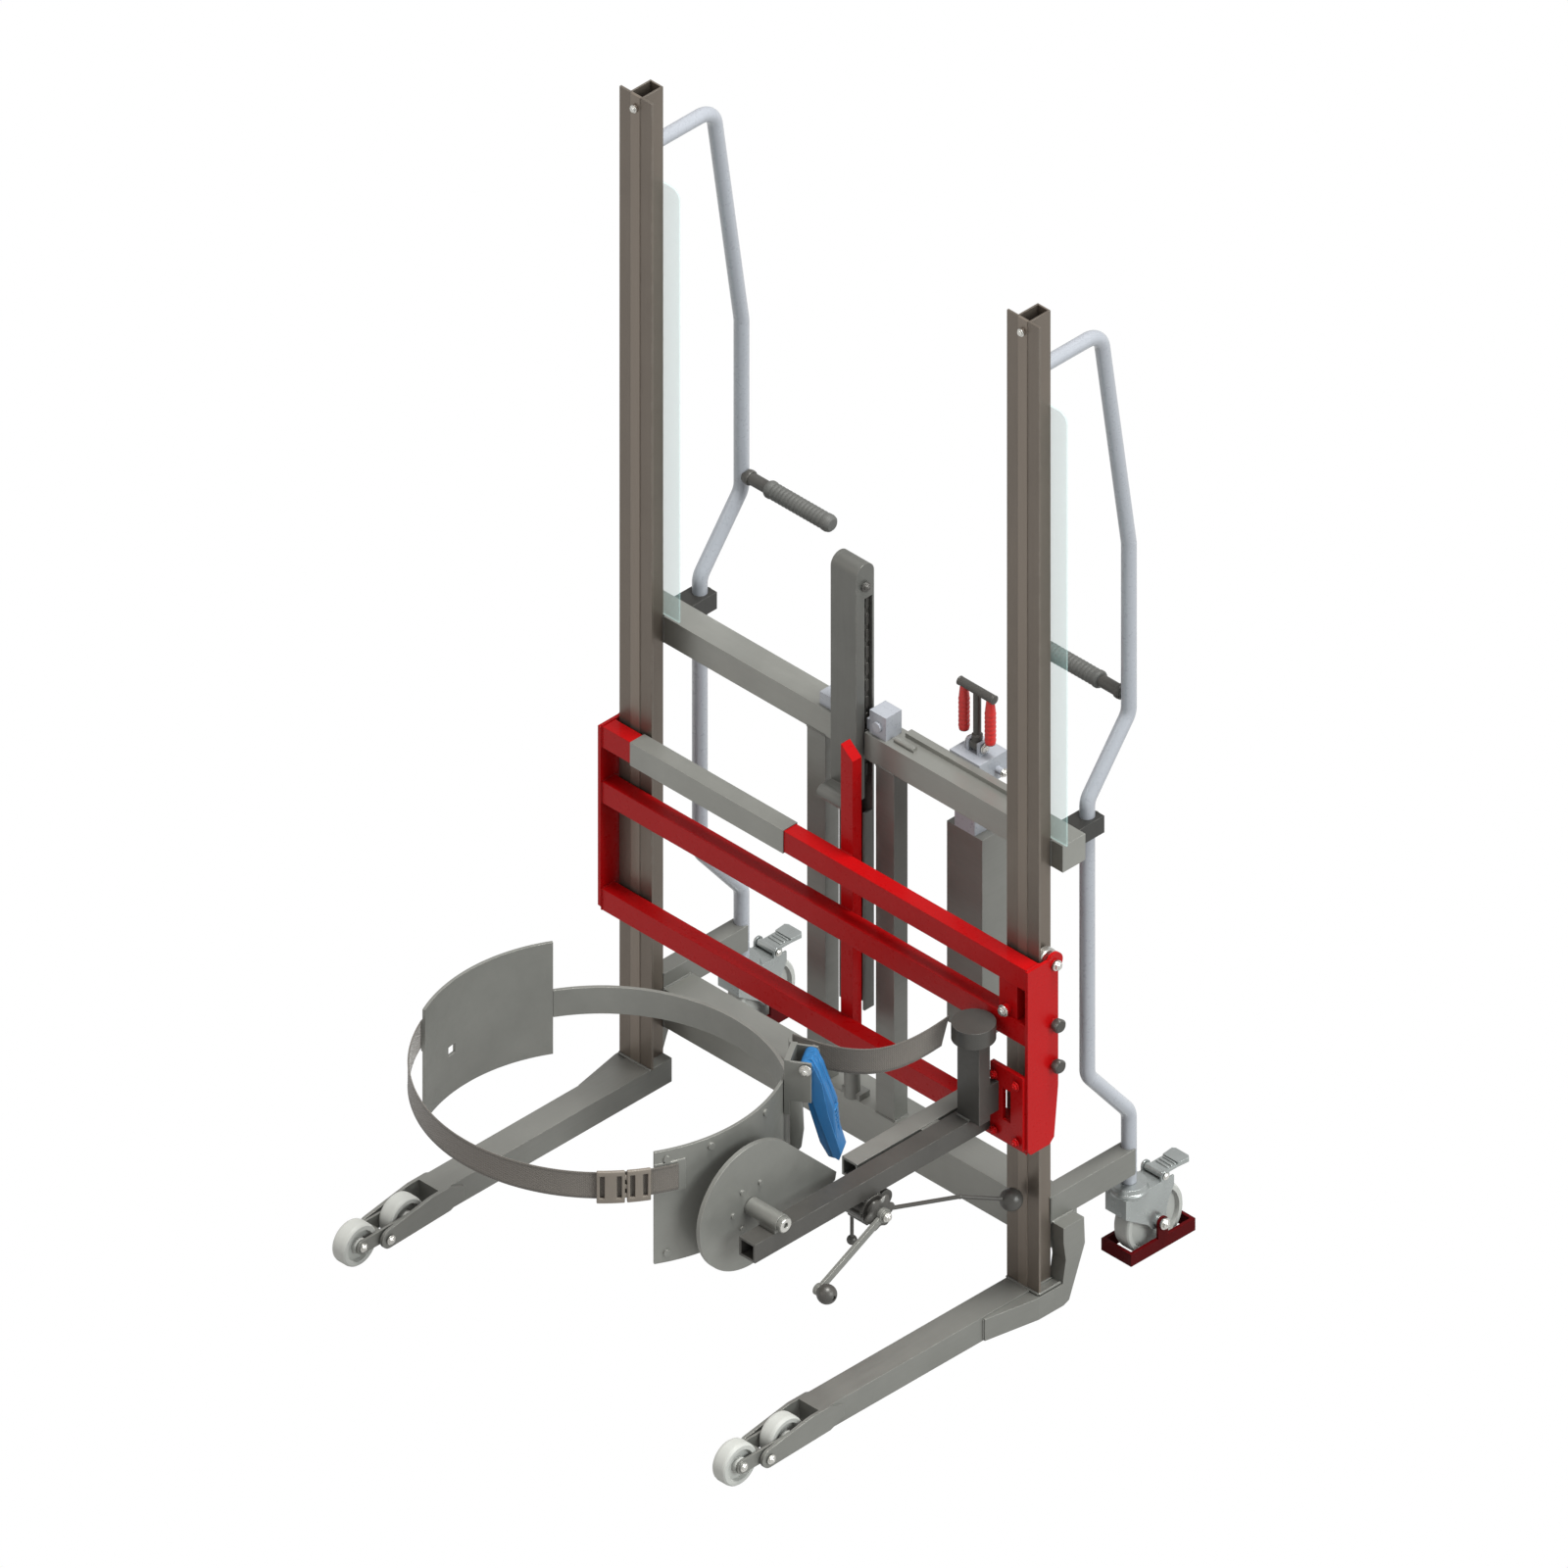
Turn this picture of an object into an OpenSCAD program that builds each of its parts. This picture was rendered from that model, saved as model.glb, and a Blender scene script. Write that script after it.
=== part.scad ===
// Drum tipper: a straddle stacker that clamps a steel drum, lifts it on twin masts and tips it.
// X runs across the masts, Y from the drum (minus) to the operator (plus), Z up from the floor.

/* [Masts] */
// Height of the mast tops above the floor
mast_top = 1914; // [1700:1:2100]
// Distance from the middle plane to each mast
mast_x = 428; // [420:1:440]
// Width of the front flange of a mast
flange_w = 71; // [64:1:76]
// Thickness of the front flange
flange_t = 4; // [3:0.5:6]
// Width of the box tube behind the flange
mast_tube_w = 28; // [24:1:32]
// Depth of a mast from flange front to tube back
mast_depth = 47; // [46:1:56]
// Wall of the box tube
mast_wall = 3; // [2:0.5:4]
// Width of the raised bead down the flange
bead_w = 20; // [14:1:26]

/* [Floor legs] */
// Length of a leg tube in front of the mast face
leg_len = 465; // [440:5:490]
// Width of a leg tube
leg_w = 50; // [46:1:52]
// Underside of a leg above the floor
leg_low = 20; // [16:1:24]
// Top of a leg above the floor
leg_top = 65; // [60:1:68]
// Distance from the middle plane to each leg
leg_x = 420; // [416:1:424]
// Diameter of a load wheel
load_wheel_d = 75; // [70:1:76]
// Width of a load wheel
load_wheel_w = 28; // [24:1:28]
// Distance from the front end of a leg tube to the bogie pin
bogie_ahead = 113; // [105:1:125]
// Distance between the two axles of a bogie
bogie_base = 103; // [98:1:108]
// Diameter of the bogie pin
bogie_pin_d = 12; // [10:1:14]

/* [Frame] */
// Underside of the lower cross beam
low_beam_z = 116; // [110:1:124]
// Height of the lower cross beam
low_beam_h = 72; // [62:1:72]
// Depth of the lower cross beam
low_beam_d = 62; // [50:1:62]
// Underside of the side beams
side_beam_z = 168; // [166:1:176]
// Height of a side beam
side_beam_h = 48; // [40:1:50]
// Width of a side beam
side_beam_w = 30; // [26:1:34]
// Underside of the upper cross member
top_beam_z = 851; // [840:1:870]
// Side of the square upper cross member
top_beam_s = 50; // [44:1:54]
// Half length of the upper cross member
top_beam_half = 469; // [462:1:470]
// Distance from the middle plane to a centre post
post_x = 76; // [70:1:90]
// Width of a centre post
post_w = 40; // [34:1:44]
// Depth of a centre post
post_d = 30; // [24:1:34]

/* [Handle tubes] */
// Diameter of the bent handle tube
tube_d = 25; // [22:1:28]
// Bend radius of the tube
tube_bend = 34; // [28:1:40]
// Rearmost reach of the tube behind the mast face
tube_back = 234; // [226:1:244]
// Depth of the middle run of the tube behind the mast face
tube_mid = 142; // [136:1:150]
// Height of the hand grips
grip_z = 1075; // [1060:1:1150]
// Diameter of the rubber grip
grip_d = 30; // [27:1:34]
// Length of the rubber grip
grip_len = 143; // [120:1:160]
// Length of the bare stub beside the tube
grip_stub = 60; // [50:1:75]

/* [Guard strips] */
// Width of a clear strip behind a mast
guard_w = 98; // [90:1:98]
// Underside of the strips
guard_z = 905; // [902:1:950]
// Top of the strips
guard_top = 1730; // [1600:1:1760]
// Thickness of a strip
guard_t = 3; // [2:0.5:5]

/* [Lift column] */
// Width of the column
column_w = 56; // [52:1:56]
// Depth of the column
column_d = 40; // [38:1:42]
// Distance from the mast face to the column front
column_y = 31; // [30:1:32]
// Underside of the column
column_z = 365; // [360:1:400]
// Top of the column
column_top = 1219; // [1190:1:1260]
// Wall of the column
column_wall = 4; // [3:0.5:5]
// Underside of the closed front of the column
column_front_z = 772; // [765:1:790]
// Diameter of the hook tube at the column front
hook_d = 26; // [22:1:26]
// Diameter of the lift cylinder barrel
barrel_d = 26; // [22:1:28]
// Diameter of the ram
ram_d = 14; // [12:1:16]
// Lower end of the ram inside the barrel
ram_low = 600; // [560:5:640]
// Pitch of the lift chain
chain_pitch = 15.9; // [12.7:0.1:19]

/* [Carriage] */
// Gap between a mast flange and a side plate
plate_gap = 5.5; // [5:0.5:10]
// Thickness of a side plate
side_plate_t = 6; // [4:1:7]
// Height of a carriage bar
bar_h = 40; // [34:1:44]
// Depth of a carriage bar
bar_d = 28; // [24:1:32]
// Gap between the bars and the mast face
bar_gap = 5.5; // [4.5:0.5:8]
// Underside of the lower bar
bar_low_z = 352; // [345:1:360]
// Underside of the middle bar
bar_mid_z = 557; // [550:1:565]
// Underside of the upper bar
bar_top_z = 663; // [658:1:668]
// Diameter of a guide roller
roller_d = 40; // [36:1:40]
// Width of a guide roller
roller_w = 14; // [10:1:16]
// Height of the guide roller axle
roller_z = 690; // [680:1:695]
// Width of the carriage upright
upright_w = 26; // [20:1:30]
// Depth of the carriage upright
upright_d = 20; // [16:1:22]
// Top of the carriage upright
upright_top = 905; // [860:1:920]
// Inner side of the carriage upright from the middle plane
upright_x = 31; // [30:1:40]

/* [Tipper arm] */
// Side of the square tipper arm
arm_s = 35; // [30:1:36]
// Distance from the middle plane to the arm inner side
arm_x = 361; // [360:1:364]
// Underside of the arm
arm_z = 370; // [366:1:374]
// Length of the arm in front of the pivot axis
arm_past = 57; // [30:1:75]
// Wall of the arm tube
arm_wall = 4; // [3:0.5:5]
// Front end of the inner arm beam before the mast face
beam_reach = 290; // [270:1:292]
// Height of the inner arm beam
beam_h = 34; // [30:1:34]
// Radius of the pivot disc
disc_r = 113; // [100:1:116]
// Thickness of the pivot disc
disc_t = 8; // [6:1:10]
// Distance from the middle plane to the disc
disc_x = 322; // [320:1:326]
// Diameter of the pivot shaft
shaft_d = 18; // [14:1:20]
// Diameter of the pivot housing
housing_d = 30; // [28:1:36]
// Diameter of the gearbox drum
gear_d = 56; // [48:1:60]
// Distance from the mast face to the gearbox
gear_y = 299; // [290:1:310]
// Diameter of the crank shaft
crank_shaft_d = 12; // [10:1:14]
// Throw of the crank in the depth direction
crank_dy = 143; // [130:1:150]
// Drop of the crank knob below its shaft
crank_dz = 71; // [60:1:80]
// Diameter of the crank knob
knob_d = 33; // [28:1:36]

/* [Cradle] */
// Radius of the drum that the cradle holds
drum_r = 292.5; // [288:0.5:294]
// Distance from the mast face to the drum axis
drum_y = 503; // [500:1:510]
// Thickness of a saddle plate
saddle_t = 5; // [4:0.5:6]
// Underside of the saddles
saddle_z = 345; // [335:1:355]
// Top of the saddles
saddle_top = 558; // [545:1:570]
// Underside of the rear band
band_z = 415; // [400:1:430]
// Height of the rear band
band_h = 50; // [40:1:60]
// Width of the strap webbing
strap_w = 50; // [40:1:50]
// Thickness of the strap webbing
strap_t = 3; // [2.5:0.5:4]
// Underside of the front strap
strap_z = 482; // [470:1:490]
// Gap between the tip of the ratchet handle and the top of the arm
ratchet_gap = 8; // [4:1:20]

/* [Casters] */
// Diameter of a caster wheel
caster_d = 125; // [120:1:126]
// Width of a caster wheel
caster_w = 32; // [28:1:34]
// Trail of the wheel behind the swivel axis
caster_trail = 43; // [40:1:46]
// Diameter of the swivel head
swivel_d = 58; // [52:1:62]
// Height of the red toe guard
guard_ring_h = 23; // [18:1:28]
// Width of the toe guard
guard_ring_w = 66; // [66:1:74]
// Length of the toe guard
guard_ring_len = 142; // [138:1:150]

/* [Pump] */
// Width of the pump tank
tank_w = 78; // [60:1:90]
// Depth of the pump tank
tank_d = 72; // [60:1:80]
// Underside of the pump tank
tank_z = 390; // [370:1:420]
// Top of the pump tank
tank_top = 773; // [740:1:800]
// Distance from the middle plane to the tank
tank_x = 202; // [190:1:230]
// Height of the pump crossbar above the floor
pump_bar_z = 1028; // [1000:1:1060]

/* [Clearances] */
// Gap at a seat between curved or nearby pieces
seat = 0.3; // [0.2:0.1:0.5]
// Radial clearance of a shaft in its bore
run = 0.05; // [0.03:0.01:0.08]

/* [Hidden] */
$fn = 48;
steel = [0.62, 0.61, 0.58];
pale = [0.78, 0.8, 0.82];
dark = [0.25, 0.25, 0.24];
red = [0.75, 0.06, 0.06];
// Front and back reach of the whole object from the mast face, which set the origin in Y
strap_r = drum_r + 8;
front_reach = drum_y + strap_r + strap_t;
pedal_reach = 118;
back_reach = tube_back + pedal_reach;
origin_y = (front_reach - back_reach) / 2;
// Places that several pieces share
mast_back = mast_depth;
leg_side = leg_x + leg_w / 2;
pivot_z = arm_z + arm_s + housing_d / 2;
saddle_in = drum_r + 0.5;
saddle_out = saddle_in + saddle_t;
bar_back = -bar_gap;
bar_z = [bar_low_z, bar_mid_z, bar_top_z];
bar_front = -bar_gap - bar_d;
column_mid = column_y + column_d / 2;
sheave_z = column_top - column_d / 2 - 22;
gear_z = arm_z - gear_d / 2 + 2;
axle_d = 10;
load_wheel_z = load_wheel_d / 2;
bogie_y = leg_len + bogie_ahead;
bogie_front = bogie_y + bogie_base / 2;
bogie_rear = bogie_y - bogie_base / 2;
bogie_pin_z = load_wheel_z - 6;
fork_half = load_wheel_w / 2 + 8;
cheek_t = 6;
caster_y = tube_back + caster_trail;
caster_z = caster_d / 2;
swivel_z = caster_d + 2;
tube_low = swivel_z + 21;
bracket_in = mast_x + side_beam_w / 2 - 5;
roller_y = flange_t + seat + roller_d / 2;
plate_in = mast_x + flange_w / 2 + plate_gap;
carriage_half = plate_in + side_plate_t;
chain_r = column_d / 2 - column_wall - 4.5;
chain_x = column_w / 2 - column_wall - 5.5;
ratchet_a = 32;
ratchet_r = saddle_out + 35;
ratchet_z = saddle_top + 27;
ratchet_len = (ratchet_z - arm_z - arm_s - ratchet_gap) / cos(15);
arm_reach = drum_y + arm_past;
pump_y = mast_back + top_beam_s + 28;
pump_pin_z = 925;
pedal_y = tube_back + 58;
pedal_z = swivel_z + 12;
// Bends of a handle tube in depth and height, from the mast down to the caster
tube_path = [[mast_back, 1803], [171, 1803], [tube_back, 1369], [tube_back, 1045], [tube_mid, 922],
    [tube_mid, 396], [tube_back, 282], [tube_back, tube_low]];

// Frame of the object: everything is drawn from the mast face and moved to the origin
module stand() translate([0, origin_y, 0]) children();

// A block from its low corner to its high corner
module block(low, high) translate(low) cube(high - low);

// The right-hand copy for s = 1 and its mirror image for s = -1
module side(s) {
    if (s > 0) children();
    else mirror([1, 0, 0]) children();
}

// A round bar along X from x0 to x1 at depth y and height z
module bar_x(x0, x1, y, z, d) translate([x0, y, z]) rotate([0, 90, 0]) cylinder(h = x1 - x0, d = d);

// A round bar along Y
module bar_y(x, y0, y1, z, d) translate([x, y0, z]) rotate([-90, 0, 0]) cylinder(h = y1 - y0, d = d);

// A flat outline given in depth and height, drawn from x0 to x1
module plate_x(x0, x1) translate([x0, 0, 0]) rotate([90, 0, 90]) linear_extrude(height = x1 - x0) children();

// A square or oblong tube wall
module tube_x(x0, x1, y0, y1, z0, z1, t) difference() {
    block([x0, y0, z0], [x1, y1, z1]);
    block([x0 + t, y0 + t, z0 + t], [x1 - t, y1 - t, z1 - t]);
}

// An arc strip about the drum axis from angle a0 to a1
module ring(r0, r1, z0, z1, a0, a1) translate([0, -drum_y, z0]) rotate([0, 0, a0])
    rotate_extrude(angle = a1 - a0, $fn = 96) translate([r0, 0]) square([r1 - r0, z1 - z0]);

module mast(s) side(s) color(steel) {
    difference() {
        union() {
            block([mast_x - flange_w / 2, 0, leg_top], [mast_x + flange_w / 2, flange_t, mast_top]);
            block([mast_x - mast_tube_w / 2, flange_t / 2, leg_top],
                [mast_x + mast_tube_w / 2, mast_back, mast_top]);
            block([mast_x - bead_w / 2, -1.2, leg_top], [mast_x + bead_w / 2, 1, mast_top]);
            bar_y(mast_x, -bar_gap + 1, 0, mast_top - 24, 13);
        }
        block([mast_x - mast_tube_w / 2 + mast_wall, flange_t, leg_top - 1],
            [mast_x + mast_tube_w / 2 - mast_wall, mast_back - mast_wall, mast_top + 1]);
    }
}
module mast_left() stand() mast(-1);
module mast_right() stand() mast(1);

// Leg tube with the two cheeks that hold the bogie
module leg(s) side(s) color(steel) difference() {
    union() {
        difference() {
            block([leg_x - leg_w / 2, -leg_len, leg_low], [leg_side, mast_back, leg_top]);
            block([leg_x - leg_w / 2 + 3, -leg_len + 3, leg_low + 3], [leg_side - 3, mast_back - 3, leg_top - 3]);
        }
        for (m = [-1, 1]) translate([leg_x + m * (fork_half + cheek_t / 2), 0, 0])
            plate_x(-cheek_t / 2, cheek_t / 2) hull() {
                translate([-bogie_y, bogie_pin_z + 1]) circle(r = 17, $fn = 32);
                translate([-leg_len - 20, leg_low]) square([40, leg_top - leg_low]);
                translate([-leg_len + 30, leg_low + 12]) square([20, leg_top - leg_low - 24]);
            }
    }
    bar_x(leg_x - fork_half - 20, leg_x + fork_half + 20, -bogie_y, bogie_pin_z, bogie_pin_d + 2 * run);
}
module leg_left() stand() leg(-1);
module leg_right() stand() leg(1);

// Bent brackets outside the legs, from the side beams down to the leg sides
module knee_brackets() stand() color(steel) for (s = [-1, 1]) side(s) {
    difference() {
        plate_x(bracket_in, mast_x + 40) polygon([
            [mast_back + 3, side_beam_z], [mast_back + 48, side_beam_z], [mast_back + 50, 118],
            [62, 26], [50, leg_low + 1], [-5, leg_low + 1], [-5, leg_top - 3], [mast_back + 1, leg_top - 3],
            [mast_back + 8, 105], [mast_back + 3, 140]]);
        block([leg_x - leg_w, -20, 0], [leg_side, mast_back, leg_top]);
    }
    translate([0, 0, leg_low + 1]) linear_extrude(height = leg_top - leg_low - 4)
        polygon([[leg_side, -5], [mast_x + 40, -5], [leg_side + 4, -105], [leg_side, -105]]);
}

module side_beams() stand() color(steel) for (s = [-1, 1]) side(s) difference() {
    tube_x(mast_x - side_beam_w / 2, mast_x + side_beam_w / 2, mast_back, tube_back,
        side_beam_z, side_beam_z + side_beam_h, 3);
    translate([mast_x, tube_back, side_beam_z - 1]) cylinder(h = side_beam_h + 2, d = tube_d + 2 * seat);
}

module lower_cross_beam() stand() color(steel) {
    half = mast_x - side_beam_w / 2;
    tube_x(-half, half, mast_back, mast_back + low_beam_d, low_beam_z, low_beam_z + low_beam_h, 4);
    for (s = [-1, 1]) side(s)
        block([half - 1, mast_back, low_beam_z], [bracket_in, mast_back + low_beam_d, side_beam_z]);
}

module upper_cross_member() stand() color(steel) {
    z1 = top_beam_z + top_beam_s;
    y1 = mast_back + top_beam_s;
    difference() {
        union() {
            tube_x(-top_beam_half, top_beam_half, mast_back, y1, top_beam_z, z1, 3);
            block([-column_w / 2 - 14, mast_back, top_beam_z], [column_w / 2 + 14, y1, z1]);
        }
        block([-column_w / 2 - 3, mast_back - 1, top_beam_z - 1],
            [column_w / 2 + 3, column_y + column_d + 3, z1 + 1]);
    }
    block([column_w / 2 + 57, y1 - 14, z1], [mast_x - 40, y1, z1 + 8]);
    bar_x(column_w / 2 + 54, column_w / 2 + 97, y1 - 32, z1 + 4, 10);
}

module centre_posts() stand() color(steel) for (s = [-1, 1]) side(s)
    tube_x(post_x - post_w / 2, post_x + post_w / 2, mast_back, mast_back + post_d,
        low_beam_z + low_beam_h, top_beam_z, 3);

// One straight run of tube between two bends, reaching a lap into the bend at each end
bend_lap = 0.5;
module tube_run(a, b, cut_a, cut_b) {
    d = b - a;
    start = max(0, cut_a - bend_lap);
    end = norm(d) - max(0, cut_b - bend_lap);
    translate([a[0], a[1], 0]) rotate([0, 0, atan2(d[1], d[0])]) translate([start, 0, 0])
        rotate([0, 90, 0]) cylinder(h = end - start, d = tube_d);
}

// Turn of the path at its point i, in degrees, positive to the left
function turn(p, i) = let (a = p[i] - p[i - 1], b = p[i + 1] - p[i],
    t = atan2(b[1], b[0]) - atan2(a[1], a[0])) t > 180 ? t - 360 : t < -180 ? t + 360 : t;
function cut(p, i) = (i <= 0 || i >= len(p) - 1) ? 0 : tube_bend * tan(abs(turn(p, i)) / 2);

// The elbow at point i of the path
module elbow(p, i) {
    a = p[i] - p[i - 1];
    h = atan2(a[1], a[0]);
    t = turn(p, i);
    c = cut(p, i);
    m = t > 0 ? 1 : -1;
    translate([p[i][0] - c * cos(h) - m * tube_bend * sin(h), p[i][1] - c * sin(h) + m * tube_bend * cos(h), 0])
        rotate([0, 0, t > 0 ? h - 90 : h + 90 + t]) rotate_extrude(angle = abs(t))
            translate([tube_bend, 0]) circle(d = tube_d + 0.1);
}

module handle_tube(s) side(s) color(pale) difference() {
    translate([mast_x, 0, 0]) rotate([90, 0, 90]) {
        for (i = [0 : len(tube_path) - 2])
            tube_run(tube_path[i], tube_path[i + 1], cut(tube_path, i), cut(tube_path, i + 1));
        for (i = [1 : len(tube_path) - 2]) elbow(tube_path, i);
    }
    translate([mast_x, tube_back, tube_low - 1]) cylinder(h = 30, d = 16 + 2 * run);
}
module handle_tube_left() stand() handle_tube(-1);
module handle_tube_right() stand() handle_tube(1);

module hand_grips() stand() color(dark) for (s = [-1, 1]) side(s) {
    stub = mast_x - tube_d / 2 + 3;
    difference() {
        bar_x(mast_x - grip_stub, stub, tube_back, grip_z, tube_d - 4);
        translate([mast_x, tube_back, grip_z - 50]) cylinder(h = 100, d = tube_d + 2 * seat);
    }
    bar_x(mast_x - grip_stub - grip_len, mast_x - grip_stub, tube_back, grip_z, grip_d);
}

module tube_clamps() stand() color(dark) for (s = [-1, 1]) side(s) difference() {
    block([mast_x - tube_d / 2 - 7, mast_back + top_beam_s, top_beam_z + 10],
        [mast_x + tube_d / 2 + 7, tube_mid + tube_d / 2 + 6, top_beam_z + 42]);
    translate([mast_x, tube_mid, top_beam_z]) cylinder(h = top_beam_s, d = tube_d + 2 * seat);
}

// Upright clear sheet with two round top corners
module guard_strips() stand() color([0.8, 0.93, 0.92, 0.5]) for (s = [-1, 1]) side(s) {
    r = 16;
    translate([mast_x, mast_back + guard_t, 0]) rotate([90, 0, 0]) linear_extrude(height = guard_t) union() {
        translate([-guard_w / 2, guard_z]) square([guard_w, guard_top - guard_z - r]);
        translate([-guard_w / 2 + r, guard_z]) square([guard_w - 2 * r, guard_top - guard_z]);
        for (m = [-1, 1]) translate([m * (guard_w / 2 - r), guard_top - r]) circle(r = r);
    }
}

// Blocks on the cross member that guide the column, with nylon shoes
module guide_block() stand() color([0.78, 0.79, 0.79]) {
    z0 = top_beam_z + top_beam_s;
    for (m = [-1, 1]) {
        x0 = column_w / 2 + 9;
        side(m) block([x0, mast_back + 5, z0], [x0 + 36, mast_back + 40, z0 + (m > 0 ? 44 : 24)]);
        side(m) block([column_w / 2 + seat, column_y + 24, z0 + 2], [x0, column_y + column_d, z0 + 22]);
    }
    bar_y(column_w / 2 + 27, mast_back + 1, mast_back + 5, z0 + 20, 18);
}

module pump_tank() stand() color(steel) {
    y0 = mast_back + top_beam_s;
    c = 8;
    w = tank_w / 2;
    translate([tank_x, y0, tank_z]) linear_extrude(height = tank_top - tank_z) polygon([
        [-w, 0], [w, 0], [w, tank_d - c], [w - c, tank_d], [c - w, tank_d], [-w, tank_d - c]]);
    translate([tank_x, y0 + tank_d / 2, tank_z - 6]) cylinder(h = 6, d = 20);
}

module pump_head() stand() color(pale) {
    y0 = mast_back + top_beam_s;
    difference() {
        union() {
            block([tank_x - 22, y0, tank_top], [tank_x + 22, y0 + 52, top_beam_z + 17]);
            block([tank_x - 33, y0, top_beam_z + 17], [tank_x + 33, y0 + 62, pump_pin_z - 12]);
            for (m = [-1, 1])
                block([tank_x + 12 + m * 12 - 12 - 3, pump_y - 10, pump_pin_z - 12],
                    [tank_x + m * 12 + 3, pump_y + 10, pump_pin_z + 10]);
        }
        bar_x(tank_x - 40, tank_x + 40, pump_y, pump_pin_z, 10 + 2 * run);
    }
    bar_x(tank_x + 33, tank_x + 46, y0 + 40, top_beam_z + 36, 12);
}

// T handle: hub and rod, crossbar and two hanging grips
module pump_handle() stand() color(dark) {
    bar_x(tank_x - 17, tank_x + 17, pump_y, pump_pin_z, 10);
    bar_x(tank_x - 8, tank_x + 8, pump_y, pump_pin_z, 20);
    translate([tank_x, pump_y, pump_pin_z]) cylinder(h = pump_bar_z - pump_pin_z, d = 13);
    bar_x(tank_x - 36, tank_x + 36, pump_y, pump_bar_z, 15);
    for (m = [-1, 1]) translate([tank_x + m * 29, pump_y, pump_bar_z - 88]) {
        cylinder(h = 88, d = 10);
        cylinder(h = 60, d = 16);
    }
}

module lift_barrel() stand() color(steel) {
    z0 = low_beam_z + low_beam_h;
    difference() {
        union() {
            block([-20, mast_back, z0], [20, column_mid + barrel_d / 2 + 6, z0 + 12]);
            translate([0, column_mid, z0 + 1]) cylinder(h = column_top - z0 - 140, d = barrel_d);
        }
        translate([0, column_mid, z0 + 40]) cylinder(h = column_top, d = ram_d + 2 * run);
    }
}

// Column: a box with a round top, its front closed only above the hook tube
module column() stand() color(steel) {
    w = column_w / 2;
    top = column_top - column_d / 2;
    back = column_y + column_d;
    difference() {
        union() {
            block([-w, column_y, column_z], [w, back, top]);
            bar_x(-w, w, column_mid, top, column_d);
        }
        block([column_wall - w, column_y + column_wall, column_z - 1], [w - column_wall, back - column_wall, top]);
        bar_x(column_wall - w, w - column_wall, column_mid, top, column_d - 2 * column_wall);
        block([w - column_wall - 1, column_mid - 1, column_front_z - 30], [w + 1, back - column_wall, sheave_z - 24]);
        block([-w - 1, column_y - 1, column_z - 1], [w + 1, column_mid - 1, column_front_z]);
    }
    bar_x(-w - 3, w + 4, column_mid, sheave_z, 8);
    bar_x(w, w + 3, column_mid, sheave_z, 14);
    bar_x(1 - w, w - 1, hook_d / 2 - 1, column_front_z + 8, hook_d);
    block([1 - w, hook_d / 2 - 1, column_front_z], [w - 1, column_y, column_front_z + 20]);
}

module lift_ram() stand() color(pale) {
    translate([0, column_mid, ram_low]) cylinder(h = sheave_z - 42 - ram_low, d = ram_d);
    block([column_wall - column_w / 2, column_y + column_wall, sheave_z - 57],
        [chain_x - 5, column_y + column_d - column_wall, sheave_z - 42]);
}

// One link between two pins: outer plates with their pins, or an inner block
module chain_link(inner) {
    h = 7;
    w = inner ? 1.7 : 3.5;
    for (m = inner ? [0] : [-1, 1]) translate([m * 2.75, 0, 0]) rotate([90, 0, 90])
        translate([0, 0, inner ? -1.7 : -0.75]) linear_extrude(height = inner ? 3.4 : 1.5) difference() {
            union() {
                circle(d = h, $fn = 16);
                translate([0, chain_pitch]) circle(d = h, $fn = 16);
                translate([-h / 2, 0]) square([h, chain_pitch]);
            }
            if (inner) {
                circle(d = 3.6, $fn = 16);
                translate([0, chain_pitch]) circle(d = 3.6, $fn = 16);
            }
        }
    if (!inner) for (z = [0, chain_pitch]) bar_x(-w, w, 0, z, 3);
}

// Rear strand of the chain, links over the sheave and a short front strand
module lift_chain() stand() color(dark) translate([chain_x, column_mid, 0]) {
    rows = floor((sheave_z - column_front_z - 20) / chain_pitch);
    for (i = [0 : rows - 1]) translate([0, chain_r, sheave_z - (i + 1) * chain_pitch]) chain_link(i % 2 == 1);
    for (i = [0 : 2]) translate([0, -chain_r, sheave_z - (i + 1) * chain_pitch]) chain_link(i % 2 == 1);
    translate([0, 0, sheave_z]) rotate([0, 90, 0]) translate([0, 0, -2.5]) rotate([0, 0, 90])
        rotate_extrude(angle = 180) translate([chain_r - 2.5, 0]) square([5, 5]);
}

module chain_sheave() stand() color(pale) translate([chain_x, column_mid, sheave_z]) rotate([0, 90, 0])
    rotate_extrude() polygon([
        [4 + run, -5], [chain_r + 2, -5], [chain_r + 2, -4.2], [chain_r - 4, -3.8],
        [chain_r - 4, 3.8], [chain_r + 2, 4.2], [chain_r + 2, 5], [4 + run, 5]]);

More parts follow.
